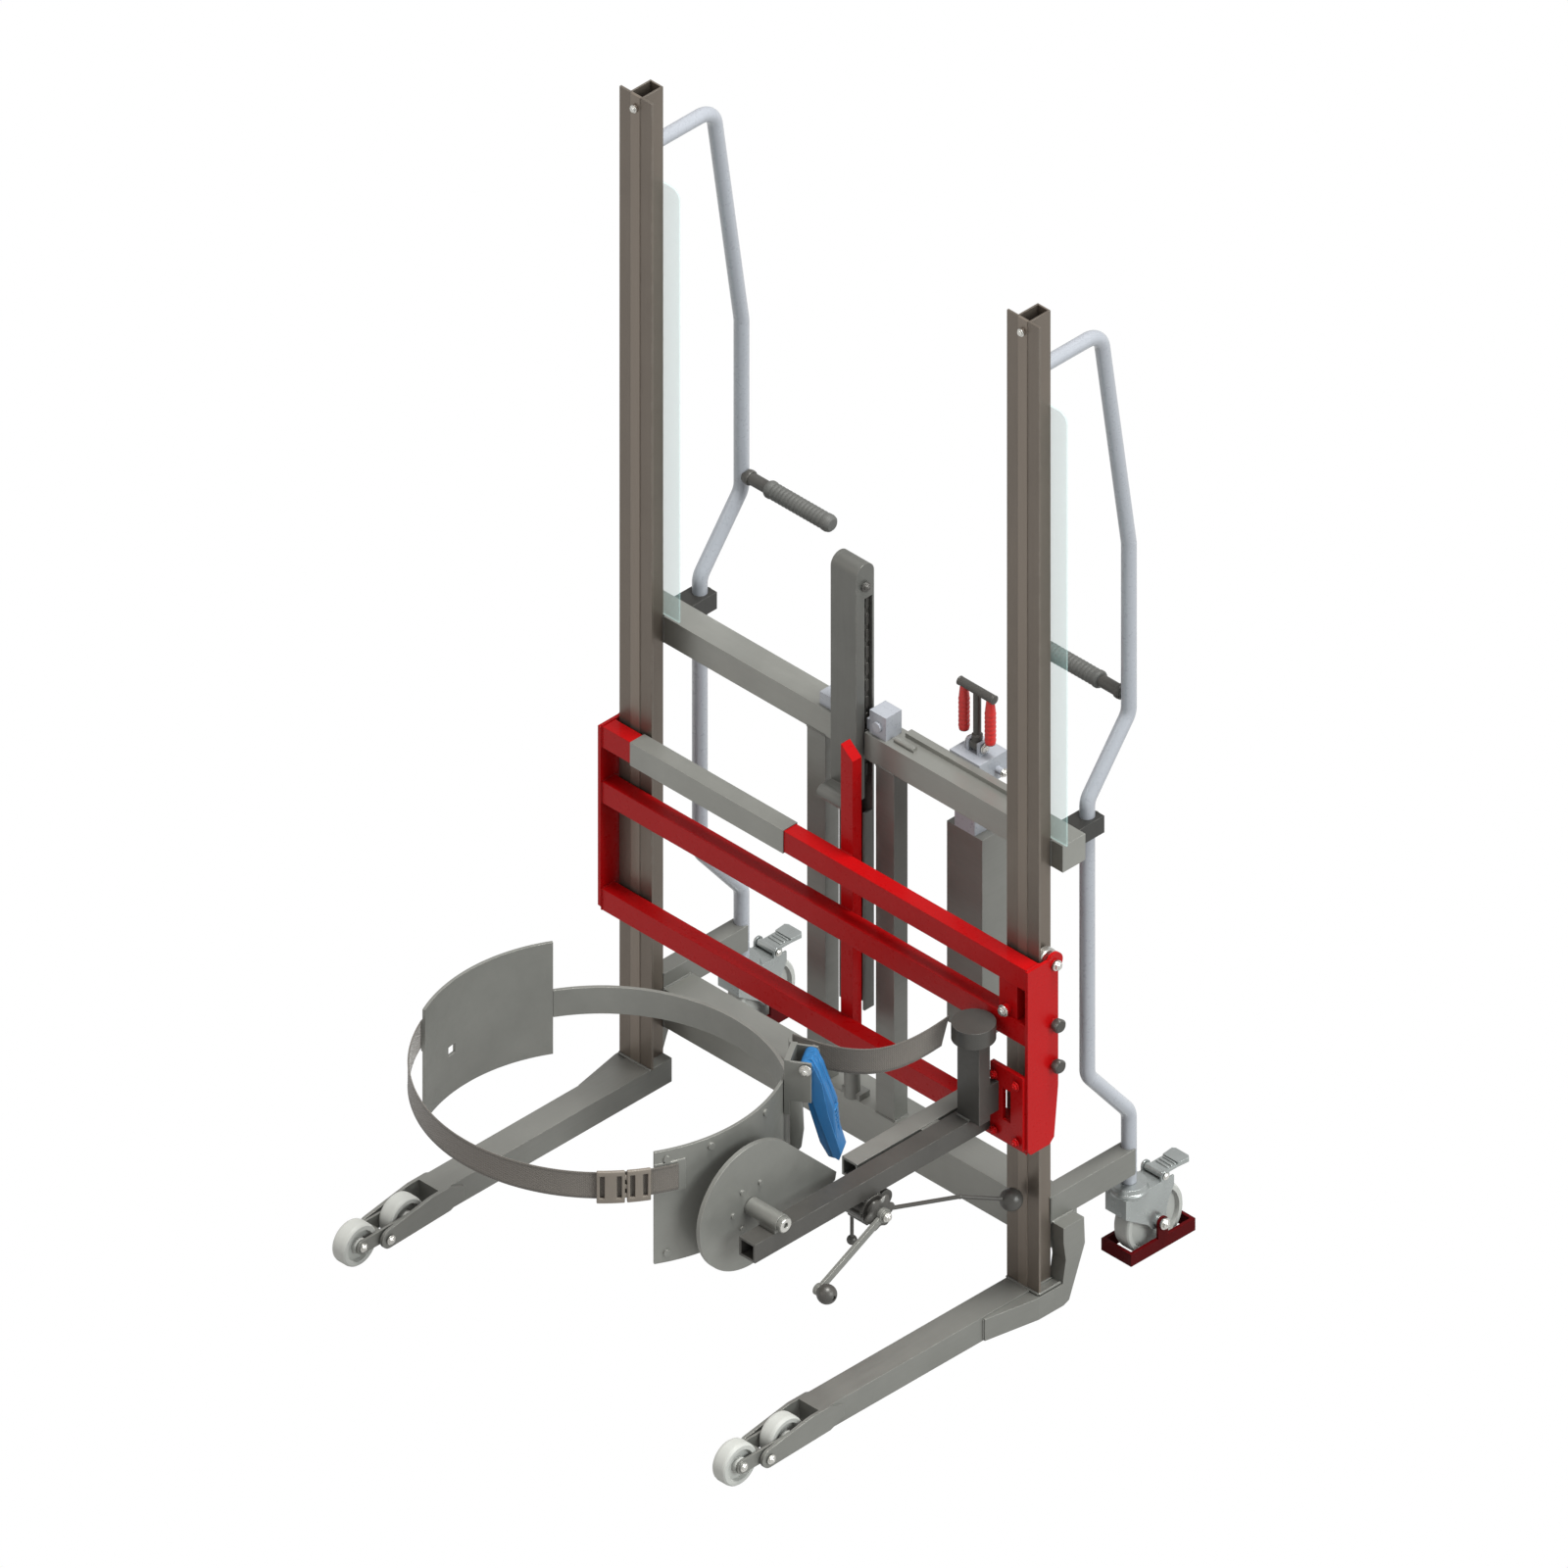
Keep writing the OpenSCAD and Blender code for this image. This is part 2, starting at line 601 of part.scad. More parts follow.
// Side plate with the roller hump, its axle and the two outer knobs
module carriage_plates() stand() color(red) for (s = [-1, 1]) side(s) {
    base = bar_z[0];
    difference() {
        plate_x(plate_in, carriage_half) union() {
            polygon([[bar_front - 3, base + 8], [bar_front + 4, base], [12, base], [22, base + 10],
                [31, base + 105], [31, bar_z[2] + bar_h], [bar_front - 3, bar_z[2] + bar_h]]);
            translate([roller_y, roller_z + 4]) circle(d = 34);
        }
        bar_x(plate_in - 1, carriage_half + 1, roller_y, roller_z, 10);
    }
    bar_x(mast_x + flange_w / 2 - roller_w - 5, carriage_half + 4, roller_y, roller_z, 10);
    bar_x(mast_x + flange_w / 2 - 2.5, plate_in, roller_y, roller_z, 17);
    bar_x(carriage_half, carriage_half + 4, roller_y, roller_z, 18);
    for (z = [0.3, 0.55]) bar_x(carriage_half, carriage_half + 15, 23, bar_z[0] + z * (bar_z[2] - bar_z[0]) + 55, 19);
    // corner plate with its slot, and the latch block with its pin
    if (s > 0) {
        difference() {
            block([arm_x + arm_s + 1, bar_front - 8, bar_z[0] + 10], [plate_in, bar_front, bar_z[0] + 148]);
            block([arm_x + arm_s + 28, bar_front - 9, bar_z[0] + 50], [arm_x + arm_s + 46, bar_front + 1, bar_z[0] + 110]);
        }
        for (x = [12, 60]) for (z = [22, 130])
            bar_y(arm_x + arm_s + x, bar_front - 12, bar_front - 8, bar_z[0] + z, 9);
        block([mast_x - 22, bar_front + 3, bar_z[1] + bar_h], [mast_x + 18, bar_back - 3, bar_z[2]]);
        bar_y(mast_x - 2, bar_front - 8, bar_front + 3, bar_z[1] + bar_h + 13, 17);
    }
}

module carriage_bars() stand() color(red)
    for (z = bar_z) tube_x(-plate_in, plate_in, bar_front, bar_back, z, z + bar_h, 3);

module carriage_upright() stand() color(red) difference() {
    block([upright_x, bar_back, bar_z[0]], [upright_x + upright_w, bar_back + upright_d, upright_top]);
    translate([upright_x, bar_back - 1, upright_top]) rotate([0, 40, 0]) block([0, 0, 0], [60, upright_d + 2, 60]);
}

module rail_sleeve() stand() color(steel) difference() {
    block([23 - mast_x, bar_front - 2, bar_z[2] - 2], [9 - post_x, bar_back + 2, bar_z[2] + bar_h + 2]);
    block([0 - mast_x, bar_front, bar_z[2]], [0, bar_back, bar_z[2] + bar_h]);
}

// Arm tube open at its front end, with the post and boss beside the corner plate
module tipper_arm() stand() color(dark) {
    difference() {
        block([arm_x, -arm_reach, arm_z], [arm_x + arm_s, bar_front, arm_z + arm_s]);
        block([arm_x + arm_wall, -arm_reach - 1, arm_z + arm_wall],
            [arm_x + arm_s - arm_wall, bar_front - 10, arm_z + arm_s - arm_wall]);
    }
    block([arm_x + 7, -85, arm_z + arm_s], [arm_x + 55, -61, saddle_top]);
    block([arm_x + 40, -62, arm_z + arm_s + 10], [arm_x + 55, bar_front - 8, arm_z + arm_s + 65]);
    translate([arm_x + 31, -73, saddle_top]) cylinder(h = 30, d = 71);
    for (y = [0.80, 0.86]) translate([arm_x + arm_s / 2, -arm_reach * y, arm_z - 6]) cylinder(h = 6, d = 14);
}

module arm_beam() stand() color(steel) {
    difference() {
        block([disc_x - 4, -beam_reach, arm_z - 2], [arm_x - 9, bar_front, arm_z - 2 + beam_h]);
        block([disc_x, -beam_reach - 1, arm_z + 2], [arm_x - 13, bar_front - 10, arm_z + beam_h - 6]);
    }
    block([arm_x - 9, -150, arm_z + 2], [arm_x, -112, arm_z + 30]);
}

module pivot_housing() stand() color(steel) difference() {
    union() {
        bar_x(disc_x + disc_t + 1, arm_x + arm_s + 3, -drum_y, pivot_z, housing_d);
        block([arm_x, -drum_y - 13, arm_z + arm_s], [arm_x + arm_s, 13 - drum_y, pivot_z]);
    }
    bar_x(disc_x, arm_x + arm_s + 4, -drum_y, pivot_z, shaft_d + 2 * run);
}

// Gearbox under the arm: lobed drum, neck, chain cover and the crank boss
module gearbox() stand() color(dark) difference() {
    union() {
        bar_x(arm_x - 7, arm_x + arm_s + 2, -gear_y, gear_z, gear_d - 6);
        for (a = [0 : 60 : 300])
            bar_x(arm_x - 5, arm_x + arm_s, -gear_y + (gear_d / 2 - 5) * cos(a), gear_z + (gear_d / 2 - 5) * sin(a), 10);
        block([arm_x + 2, -gear_y - 17, gear_z], [arm_x + arm_s - 2, 17 - gear_y, arm_z]);
        bar_x(arm_x + arm_s, arm_x + arm_s + 14, -gear_y, gear_z, 22);
        bar_x(arm_x + 4, arm_x + 24, 38 - gear_y, gear_z - 4, 30);
        bar_x(arm_x + 6, arm_x + 22, 30 - gear_y, gear_z - 24, 20);
    }
    bar_x(arm_x + 10, arm_x + arm_s + 16, -gear_y, gear_z, crank_shaft_d + 2 * run);
    bar_x(arm_x - 8, arm_x + 5, -gear_y, gear_z, 8 + 2 * run);
}

module guide_roller(s) side(s) color([0.3, 0.3, 0.3]) translate([mast_x + flange_w / 2 - roller_w - 3.5, roller_y, roller_z])
    rotate([0, 90, 0]) rotate_extrude() polygon([
        [5 + run, 0], [roller_d / 2 - 2, 0], [roller_d / 2, 2], [roller_d / 2, roller_w - 2],
        [roller_d / 2 - 2, roller_w], [5 + run, roller_w]]);
module guide_roller_left() stand() guide_roller(-1);
module guide_roller_right() stand() guide_roller(1);

// Disc with a straight tail behind, and the shaft that turns in the housing
module pivot_disc() stand() color(steel) {
    plate_x(disc_x, disc_x + disc_t) translate([-drum_y, pivot_z]) union() {
        circle(r = disc_r, $fn = 96);
        polygon([[disc_r * cos(48), disc_r * sin(48)], [189, -30], [186, -44], [disc_r * cos(62), -disc_r * sin(62)]]);
    }
    bar_x(disc_x, arm_x + arm_s + 6, -drum_y, pivot_z, shaft_d);
    difference() {
        bar_x(arm_x + arm_s + 3 + seat, arm_x + arm_s + 10, -drum_y, pivot_z, housing_d - 3);
        bar_x(arm_x + arm_s + 7, arm_x + arm_s + 11, -drum_y, pivot_z, 9);
    }
    for (a = [60 : 60 : 300]) bar_x(disc_x + disc_t, disc_x + disc_t + 3,
        (housing_d + 10) * cos(a) - drum_y, pivot_z + (housing_d + 10) * sin(a), 9);
}

// Curved plates that hug the drum, the right one with the hub block of the disc
module saddle_right() stand() color(steel) {
    difference() {
        union() {
            ring(saddle_in, saddle_out, saddle_z, saddle_top, -29, 50);
            difference() {
                block([saddle_out - 14, -drum_y - 45, pivot_z - 40], [disc_x, 45 - drum_y, pivot_z + 40]);
                translate([0, -drum_y, 0]) cylinder(r = saddle_out - 2, h = 900, $fn = 96);
            }
        }
        rotate_about_drum(46) block([saddle_in - 9, -9, strap_z + 40], [saddle_out + 9, 9, strap_z + 80]);
    }
    ring(saddle_out, strap_r - seat, strap_z - 4, strap_z + strap_w + 4, -29, -19);
    for (a = [-25, -10, 14]) for (z = [saddle_top - 16, saddle_z + 18]) rotate_about_drum(a)
        bar_x(saddle_out - 1, saddle_out + 3, 0, z, 12);
}
module rotate_about_drum(a) translate([0, -drum_y, 0]) rotate([0, 0, a]) children();

module saddle_left() stand() color(steel) {
    difference() {
        ring(saddle_in, saddle_out, saddle_z, saddle_top, 150, 205);
        rotate_about_drum(188) block([saddle_in - 9, -9, saddle_z + 74], [saddle_out + 9, 9, saddle_z + 92]);
    }
    ring(saddle_out, strap_r - seat, strap_z - 4, strap_z + strap_w + 4, 195, 205);
    for (a = [156, 172]) for (z = [saddle_top - 16, saddle_z + 18]) rotate_about_drum(a)
        bar_x(saddle_out - 1, saddle_out + 3, 0, z, 12);
}

module rear_band() stand() color(steel) {
    ring(saddle_in, saddle_out + 1, band_z, band_z + band_h, 50.1, 149.9);
    ring(saddle_out + seat, saddle_out + 4, band_z + 8, band_z + band_h - 8, 44, 156);
}

module front_strap() stand() color([0.4, 0.37, 0.34])
    ring(strap_r, strap_r + strap_t, strap_z, strap_z + strap_w, -156, -22);

// Side release buckle: two frames, each with windows, over the strap
module strap_buckle() stand() color([0.45, 0.42, 0.38]) {
    r0 = strap_r + strap_t + seat;
    for (p = [[-46.5, -38.2], [-37.6, -30.5]]) difference() {
        ring(r0, r0 + 7, strap_z - 5, strap_z + strap_w + 5, p[0], p[1]);
        ring(r0 - 1, r0 + 9, strap_z + 5, strap_z + strap_w - 5, p[0] + 1.4, p[0] + 2.8);
        ring(r0 - 1, r0 + 9, strap_z + 5, strap_z + strap_w - 5, p[1] - 2.6, p[1] - 1.2);
    }
}

// Loose tail of webbing behind the right saddle, on one smooth curve
tail_points = [[193.2, -273.6], [300, -252], [350, -215], [344, -115]];
function bezier(p, t) = pow(1 - t, 3) * p[0] + 3 * t * pow(1 - t, 2) * p[1] + 3 * t * t * (1 - t) * p[2] + pow(t, 3) * p[3];
function tail_side(t, off) = let (a = bezier(tail_points, t - 0.01), b = bezier(tail_points, t + 0.01), d = (b - a) / norm(b - a))
    bezier(tail_points, t) + off * [-d[1], d[0]];
module strap_tail() stand() color([0.4, 0.37, 0.34]) {
    n = 14;
    translate([0, 0, strap_z + 36]) linear_extrude(height = strap_w - 2) polygon(concat(
        [for (i = [0 : n]) tail_side(i / n, strap_t / 2)], [for (i = [n : -1 : 0]) tail_side(i / n, -strap_t / 2)]));
}

// Ratchet frame on the right saddle, with two ears for the handle
module ratchet_body() stand() color(steel) rotate_about_drum(ratchet_a) difference() {
    union() {
        block([saddle_out + seat, -26, ratchet_z - 90], [saddle_out + 10, 26, ratchet_z + 14]);
        for (m = [-1, 1]) block([saddle_out + 9, m * 24 - 2, ratchet_z - 62], [ratchet_r + 9, m * 24 + 2, ratchet_z + 12]);
        translate([saddle_out + 20, -26, ratchet_z - 50]) rotate([-90, 0, 0]) cylinder(h = 52, d = 12);
    }
    translate([ratchet_r, -30, ratchet_z]) rotate([-90, 0, 0]) cylinder(h = 60, d = 10 + 2 * run);
}

// Blue lever that hangs from the ratchet pin, leaning out
module ratchet_handle() stand() color([0.18, 0.45, 0.7]) rotate_about_drum(ratchet_a)
    translate([ratchet_r, 0, ratchet_z]) {
        rotate([-90, 0, 0]) translate([0, 0, -28]) cylinder(h = 56, d = 10);
        rotate([-90, 0, 0]) translate([0, 0, -21.5]) cylinder(h = 43, d = 24);
        rotate([0, -15, 0]) difference() {
            translate([0, 18, 0]) rotate([90, 0, 0]) linear_extrude(height = 36) polygon([
                [-9, -8], [-7, -ratchet_len * 0.55], [-2, -ratchet_len + 8], [6, -ratchet_len], [12, -ratchet_len + 10],
                [11, -ratchet_len * 0.5], [16, -ratchet_len * 0.2], [11, 0]]);
            block([-20, -8, -ratchet_len * 0.42], [30, 8, -ratchet_len * 0.18]);
        }
    }

module crank_arm() stand() color(dark) {
    x = arm_x + arm_s + 19;
    bar_x(arm_x + 12, x + 8, -gear_y, gear_z, crank_shaft_d);
    bar_x(x, x + 8, -gear_y, gear_z, 24);
    bar_x(x + 8, x + 12, -gear_y, gear_z, 16);
    throw = norm([crank_dy, crank_dz]);
    translate([x, -gear_y, gear_z]) rotate([atan2(crank_dz, crank_dy), 0, 0])
        block([1, -throw, -6], [7, 0, 6]);
    bar_x(x, x + 8, -gear_y - crank_dy, gear_z - crank_dz, 20);
    bar_x(x, x + 34, -gear_y - crank_dy, gear_z - crank_dz, 8);
}

module crank_knob() stand() color(dark) translate([arm_x + arm_s + 28, -gear_y - crank_dy, gear_z - crank_dz])
    rotate([0, 90, 0]) rotate_extrude() difference() {
        union() {
            translate([0, knob_d / 2 - 4]) intersection() {
                circle(d = knob_d);
                translate([0, 4 - knob_d / 2]) square([knob_d, knob_d - 4]);
            }
        }
        square([4 + run, 30]);
    }

module release_lever() stand() color(dark) {
    bar_x(arm_x - 16, arm_x + 3, -gear_y, gear_z, 8);
    bar_x(arm_x - 16, arm_x - 8, -gear_y, gear_z, 16);
    translate([arm_x - 12, -gear_y, gear_z - 78]) cylinder(h = 78, d = 6);
    translate([arm_x - 12, -gear_y, gear_z - 82]) sphere(d = 17);
}

// Long lever bent outwards beside the crank, ending in a ball in front of the mast
module lock_lever() stand() color(dark) {
    x = arm_x + arm_s + 2 + seat;
    hub = [x + 3.5, -gear_y, gear_z];
    knee = [x + 3.5, -gear_y + 186, gear_z - 66];
    tip = [mast_x + 2, -28, gear_z - 100];
    difference() {
        union() {
            bar_x(x, x + 7, -gear_y, gear_z, 34);
            rod(hub, knee, 7);
            rod(knee, tip, 7);
            translate(knee) sphere(d = 8.4);
        }
        bar_x(x - 1, x + 9, -gear_y, gear_z, 22 + 2 * run);
    }
    translate(tip) sphere(d = 38);
}

// A round rod between two points
module rod(a, b, d) {
    v = b - a;
    translate(a) rotate([0, acos(v[2] / norm(v)), atan2(v[1], v[0])]) cylinder(h = norm(v), d = d);
}

// Caster fork: stem, swivel head, crown, cheeks, axle and ears for the pedal
module caster_fork(s) side(s) color(pale) translate([mast_x, 0, 0]) {
    y0 = tube_back;
    translate([0, y0, swivel_z]) cylinder(h = 26 + tube_low - swivel_z, d = 16);
    translate([0, y0, swivel_z]) cylinder(h = tube_low - seat - swivel_z, d = swivel_d);
    difference() {
        union() {
            block([-23, y0 - 29, swivel_z], [23, caster_y + 24, swivel_z + 5]);
            block([-23, y0 - 29, swivel_z - 30], [23, y0 - 26, swivel_z + 1]);
            for (m = [-1, 1]) translate([m * 21.25, 0, 0]) plate_x(-1.75, 1.75) union() {
                polygon([[y0 - 29, swivel_z + 5], [y0 - 29, swivel_z - 30], [caster_y - 24, caster_z + 2],
                    [caster_y - 14, caster_z - 12], [caster_y + 14, caster_z - 12], [caster_y + 20, caster_z + 24],
                    [caster_y + 34, swivel_z - 14], [caster_y + 34, swivel_z + 5]]);
                translate([caster_y, caster_z]) circle(d = 30);
                translate([pedal_y - 9, swivel_z]) square([18, pedal_z - swivel_z]);
                translate([pedal_y, pedal_z]) circle(d = 18);
            }
        }
        bar_x(-30, 30, pedal_y, pedal_z, 8 + 2 * run);
    }
    nut_x = guard_ring_w / 2 + seat;
    bar_x(-nut_x - 5, nut_x + 5, caster_y, caster_z, 12);
    for (m = [-1, 1]) {
        bar_x(m * 25 - 2, m * 25 + 2, caster_y, caster_z, 18);
        bar_x(m * (nut_x + 2) - 2, m * (nut_x + 2) + 2, caster_y, caster_z, 17);
    }
}
module caster_fork_left() stand() caster_fork(-1);
module caster_fork_right() stand() caster_fork(1);

// A wheel about X with a round-shouldered tread, a dished web and a bore
module wheel(d, w, bore, hub_w) rotate([0, 90, 0]) rotate_extrude($fn = 64) polygon([
    [bore / 2, -hub_w / 2], [bore / 2 + 8, -hub_w / 2], [bore / 2 + 9, -w / 4], [d / 2 - 12, -w / 4],
    [d / 2 - 10, -w / 2], [d / 2 - 3, -w / 2], [d / 2 - 0.8, -w / 2 + 2.5], [d / 2, -w / 2 + 6],
    [d / 2, w / 2 - 6], [d / 2 - 0.8, w / 2 - 2.5], [d / 2 - 3, w / 2], [d / 2 - 10, w / 2],
    [d / 2 - 12, w / 4], [bore / 2 + 9, w / 4], [bore / 2 + 8, hub_w / 2], [bore / 2, hub_w / 2]]);

module caster_wheel(s) side(s) color([0.78, 0.78, 0.76])
    translate([mast_x, caster_y, caster_z]) wheel(caster_d, caster_w, 12 + 2 * run, caster_w + 6);
module caster_wheel_left() stand() caster_wheel(-1);
module caster_wheel_right() stand() caster_wheel(1);

module brake_pedal(s) side(s) color(pale) translate([mast_x, 0, 0]) {
    bar_x(-24, 24, pedal_y, pedal_z, 8);
    bar_x(-18, 18, pedal_y, pedal_z, 13);
    block([-17, pedal_y, pedal_z - 2], [17, back_reach - 24, pedal_z + 3]);
    translate([0, 0, pedal_z - 2]) linear_extrude(height = 8) polygon([
        [-17, back_reach - 26], [17, back_reach - 26], [19, back_reach - 4], [14, back_reach],
        [-14, back_reach], [-19, back_reach - 4]]);
}
module brake_pedal_left() stand() brake_pedal(-1);
module brake_pedal_right() stand() brake_pedal(1);

// Red frame round the foot of the wheel, hung on the axle by two ears
module toe_guard(s) side(s) color([0.47, 0.03, 0.06]) translate([mast_x, caster_y, 0]) {
    w = guard_ring_w / 2;
    l = guard_ring_len / 2;
    difference() {
        union() {
            block([-w, -l, 13], [w, l, 13 + guard_ring_h]);
            for (m = [-1, 1]) translate([m * (w - 2), 0, 0]) plate_x(-2, 2) union() {
                translate([-11, 30]) square([22, caster_z - 30]);
                translate([0, caster_z]) circle(d = 22);
            }
        }
        block([6 - w, 6 - l, 12], [w - 6, l - 6, 14 + guard_ring_h]);
        bar_x(-60, 60, 0, caster_z, 12 + 2 * seat);
        block([-w + 4, -30, 36], [w - 4, 30, caster_z + 40]);
    }
}
module toe_guard_left() stand() toe_guard(-1);
module toe_guard_right() stand() toe_guard(1);

// Rocker with two plates, its pin in the leg and the two axles
module bogie(s) side(s) color(steel) translate([leg_x, 0, 0]) {
    p0 = load_wheel_w / 2 + 1.5;
    for (m = [-1, 1]) {
        translate([m * (p0 + 2), 0, 0]) plate_x(-2, 2) union() {
            translate([-bogie_front, load_wheel_z]) circle(d = 25);
            translate([-bogie_rear, load_wheel_z]) circle(d = 25);
            translate([-bogie_front, load_wheel_z - 12.5]) square([bogie_base, 25]);
        }
        bar_x(m * (p0 + 4.8) - 0.9, m * (p0 + 4.8) + 0.9, -bogie_front, load_wheel_z, 18);
    }
    for (y = [bogie_front, bogie_rear]) bar_x(-p0 - 4, p0 + 4, -y, load_wheel_z, axle_d);
    bar_x(-fork_half - cheek_t - 2, fork_half + cheek_t + 2, -bogie_y, bogie_pin_z, bogie_pin_d);
}
module bogie_left() stand() bogie(-1);
module bogie_right() stand() bogie(1);

module load_wheel(s, y) side(s) color([0.8, 0.8, 0.78])
    translate([leg_x, -y, load_wheel_z]) wheel(load_wheel_d, load_wheel_w, axle_d + 2 * run, load_wheel_w + 2);
module load_wheel_left_front() stand() load_wheel(-1, bogie_front);
module load_wheel_left_rear() stand() load_wheel(-1, bogie_rear);
module load_wheel_right_front() stand() load_wheel(1, bogie_front);
module load_wheel_right_rear() stand() load_wheel(1, bogie_rear);

mast_left();
mast_right();
leg_left();
leg_right();
knee_brackets();
side_beams();
lower_cross_beam();
upper_cross_member();
centre_posts();
handle_tube_left();
handle_tube_right();
hand_grips();
tube_clamps();
guard_strips();
guide_block();
pump_tank();
pump_head();
lift_barrel();
column();
lift_ram();
lift_chain();
chain_sheave();
pump_handle();
carriage_plates();
carriage_bars();
carriage_upright();
rail_sleeve();
tipper_arm();
arm_beam();
pivot_housing();
gearbox();
guide_roller_left();
guide_roller_right();
pivot_disc();
saddle_right();
saddle_left();
rear_band();
front_strap();
strap_buckle();
strap_tail();
ratchet_body();
ratchet_handle();
crank_arm();
crank_knob();
release_lever();
lock_lever();
caster_fork_left();
caster_fork_right();
caster_wheel_left();
caster_wheel_right();
brake_pedal_left();
brake_pedal_right();
toe_guard_left();
toe_guard_right();
bogie_left();
bogie_right();
load_wheel_left_front();
load_wheel_left_rear();
load_wheel_right_front();
load_wheel_right_rear();
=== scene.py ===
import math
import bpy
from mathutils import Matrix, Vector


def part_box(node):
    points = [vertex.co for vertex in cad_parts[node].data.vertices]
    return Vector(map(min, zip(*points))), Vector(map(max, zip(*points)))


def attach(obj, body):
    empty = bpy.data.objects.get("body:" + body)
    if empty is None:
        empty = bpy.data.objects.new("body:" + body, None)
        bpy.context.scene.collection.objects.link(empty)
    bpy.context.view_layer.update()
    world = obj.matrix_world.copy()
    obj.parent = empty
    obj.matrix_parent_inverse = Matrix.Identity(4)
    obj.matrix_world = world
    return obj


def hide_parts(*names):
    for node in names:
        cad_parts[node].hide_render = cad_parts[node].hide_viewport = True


bl_info = {
    "name": "Drum tipper looks",
    "version": (1, 0, 0),
    "blender": (4, 5, 0),
    "location": "View3D > Sidebar > Tipper",
    "description": "Finishes, webbing, grips, fasteners and stage of the drum tipper",
    "category": "Object",
}

import bmesh
import bpy
from bpy.props import FloatProperty, FloatVectorProperty, IntProperty, PointerProperty
from bpy.types import Operator, Panel, PropertyGroup
from mathutils import Matrix, Vector

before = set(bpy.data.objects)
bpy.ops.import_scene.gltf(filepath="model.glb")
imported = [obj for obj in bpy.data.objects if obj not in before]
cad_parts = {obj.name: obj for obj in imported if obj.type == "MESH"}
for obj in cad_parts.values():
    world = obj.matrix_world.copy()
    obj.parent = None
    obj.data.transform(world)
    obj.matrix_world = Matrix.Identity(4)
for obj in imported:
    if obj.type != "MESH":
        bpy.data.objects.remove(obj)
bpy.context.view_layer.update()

MM = 0.001
MERGE = 2e-6
X, Y, Z = Vector((1, 0, 0)), Vector((0, 1, 0)), Vector((0, 0, 1))
SIDES = (("left", -1), ("right", 1))
BOTH = (-1, 1)

# Places in millimetres: across, behind the front face of the masts, and above the floor
MAST_X, MAST_DEPTH = 428, 47
LEG_X = 420
CRADLE_Y, PIVOT_Z = -503, 420
CRANK_Y, CRANK_Z = -299, 344
PUMP_X, PUMP_Y = 202, 125
CASTER_Y, CASTER_Z = 277, 62.5
LOAD_FRONT_Y, LOAD_REAR_Y, LOAD_Z = -629.5, -526.5, 37.5
BAR_FEET, BAR_HEIGHT = (352, 557, 663), 40
KNOB_HEIGHTS = (500.3, 578.05)

# Front face of the masts and middle of the cradle in the part's frame, in metres
FACE_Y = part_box("mast_right")[1].y - MAST_DEPTH * MM
CRADLE_AXIS = Vector((0, FACE_Y + CRADLE_Y * MM, 0))


# Places and meshes

def at(x, y, z):
    """A point given in millimetres across, behind the mast face and above the floor."""
    return Vector((x * MM, FACE_Y + y * MM, z * MM))


def aimed(origin, axis, turn=0.0):
    """The matrix that puts a shape drawn up the Z axis at origin, along axis."""
    lean = Z.rotation_difference(Vector(axis)).to_matrix().to_4x4()
    return Matrix.Translation(origin) @ lean @ Matrix.Rotation(turn, 4, "Z")


def add(bm, part, matrix=None):
    """Moves the mesh part into bm, turned and placed by matrix."""
    if matrix is not None:
        bmesh.ops.transform(part, matrix=matrix, verts=part.verts)
    mesh = bpy.data.meshes.new("part")
    part.to_mesh(mesh)
    part.free()
    bm.from_mesh(mesh)
    bpy.data.meshes.remove(mesh)


def piece(name, bm, body, look, angle=32):
    """Closes the mesh, gives it the finish named look and lets it ride on its body."""
    bmesh.ops.remove_doubles(bm, verts=bm.verts, dist=MERGE)
    bmesh.ops.recalc_face_normals(bm, faces=bm.faces)
    mesh = bpy.data.meshes.new(name)
    bm.to_mesh(mesh)
    bm.free()
    if not mesh.polygons:
        raise RuntimeError(name + " has no faces")
    mesh.shade_smooth()
    mesh.set_sharp_from_angle(angle=math.radians(angle))
    obj = bpy.data.objects.new(name, mesh)
    bpy.context.scene.collection.objects.link(obj)
    mesh.materials.append(finish(look))
    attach(obj, body)
    return obj


def joined(parts):
    """One mesh of all parts, given as pairs of a shape and the matrix that places it."""
    bm = bmesh.new()
    for part, matrix in parts:
        add(bm, part, matrix)
    return bm


def only_verts(made):
    """The vertices among what an operator made."""
    return [g for g in made["geom"] if isinstance(g, bmesh.types.BMVert)]


def round_edges(bm, edges, radius, segments=2, clamp=False):
    """Rounds edges of bm by a radius in millimetres."""
    bmesh.ops.bevel(bm, geom=edges, offset=radius * MM, offset_type="OFFSET", segments=segments,
                    profile=0.5, affect="EDGES", material=-1, clamp_overlap=clamp)


def thicken(bm, faces, depth):
    """Makes faces that lie across Y a plate, depth metres thick."""
    top = only_verts(bmesh.ops.extrude_face_region(bm, geom=faces))
    bmesh.ops.translate(bm, vec=(0, depth, 0), verts=top)
    bmesh.ops.recalc_face_normals(bm, faces=bm.faces)


def turned(profile, steps):
    """A closed shape turned round Z from (radius, height) pairs in millimetres."""
    bm = bmesh.new()
    verts = [bm.verts.new((r * MM, 0, h * MM)) for r, h in profile]
    edges = [bm.edges.new(pair) for pair in zip(verts, verts[1:])]
    if profile[0][0] > 0 and profile[-1][0] > 0:
        edges.append(bm.edges.new((verts[-1], verts[0])))
    bmesh.ops.spin(bm, geom=verts + edges, cent=(0, 0, 0), axis=Z, angle=math.tau,
                   steps=steps, use_merge=True)
    bmesh.ops.remove_doubles(bm, verts=bm.verts, dist=MERGE)
    return bm


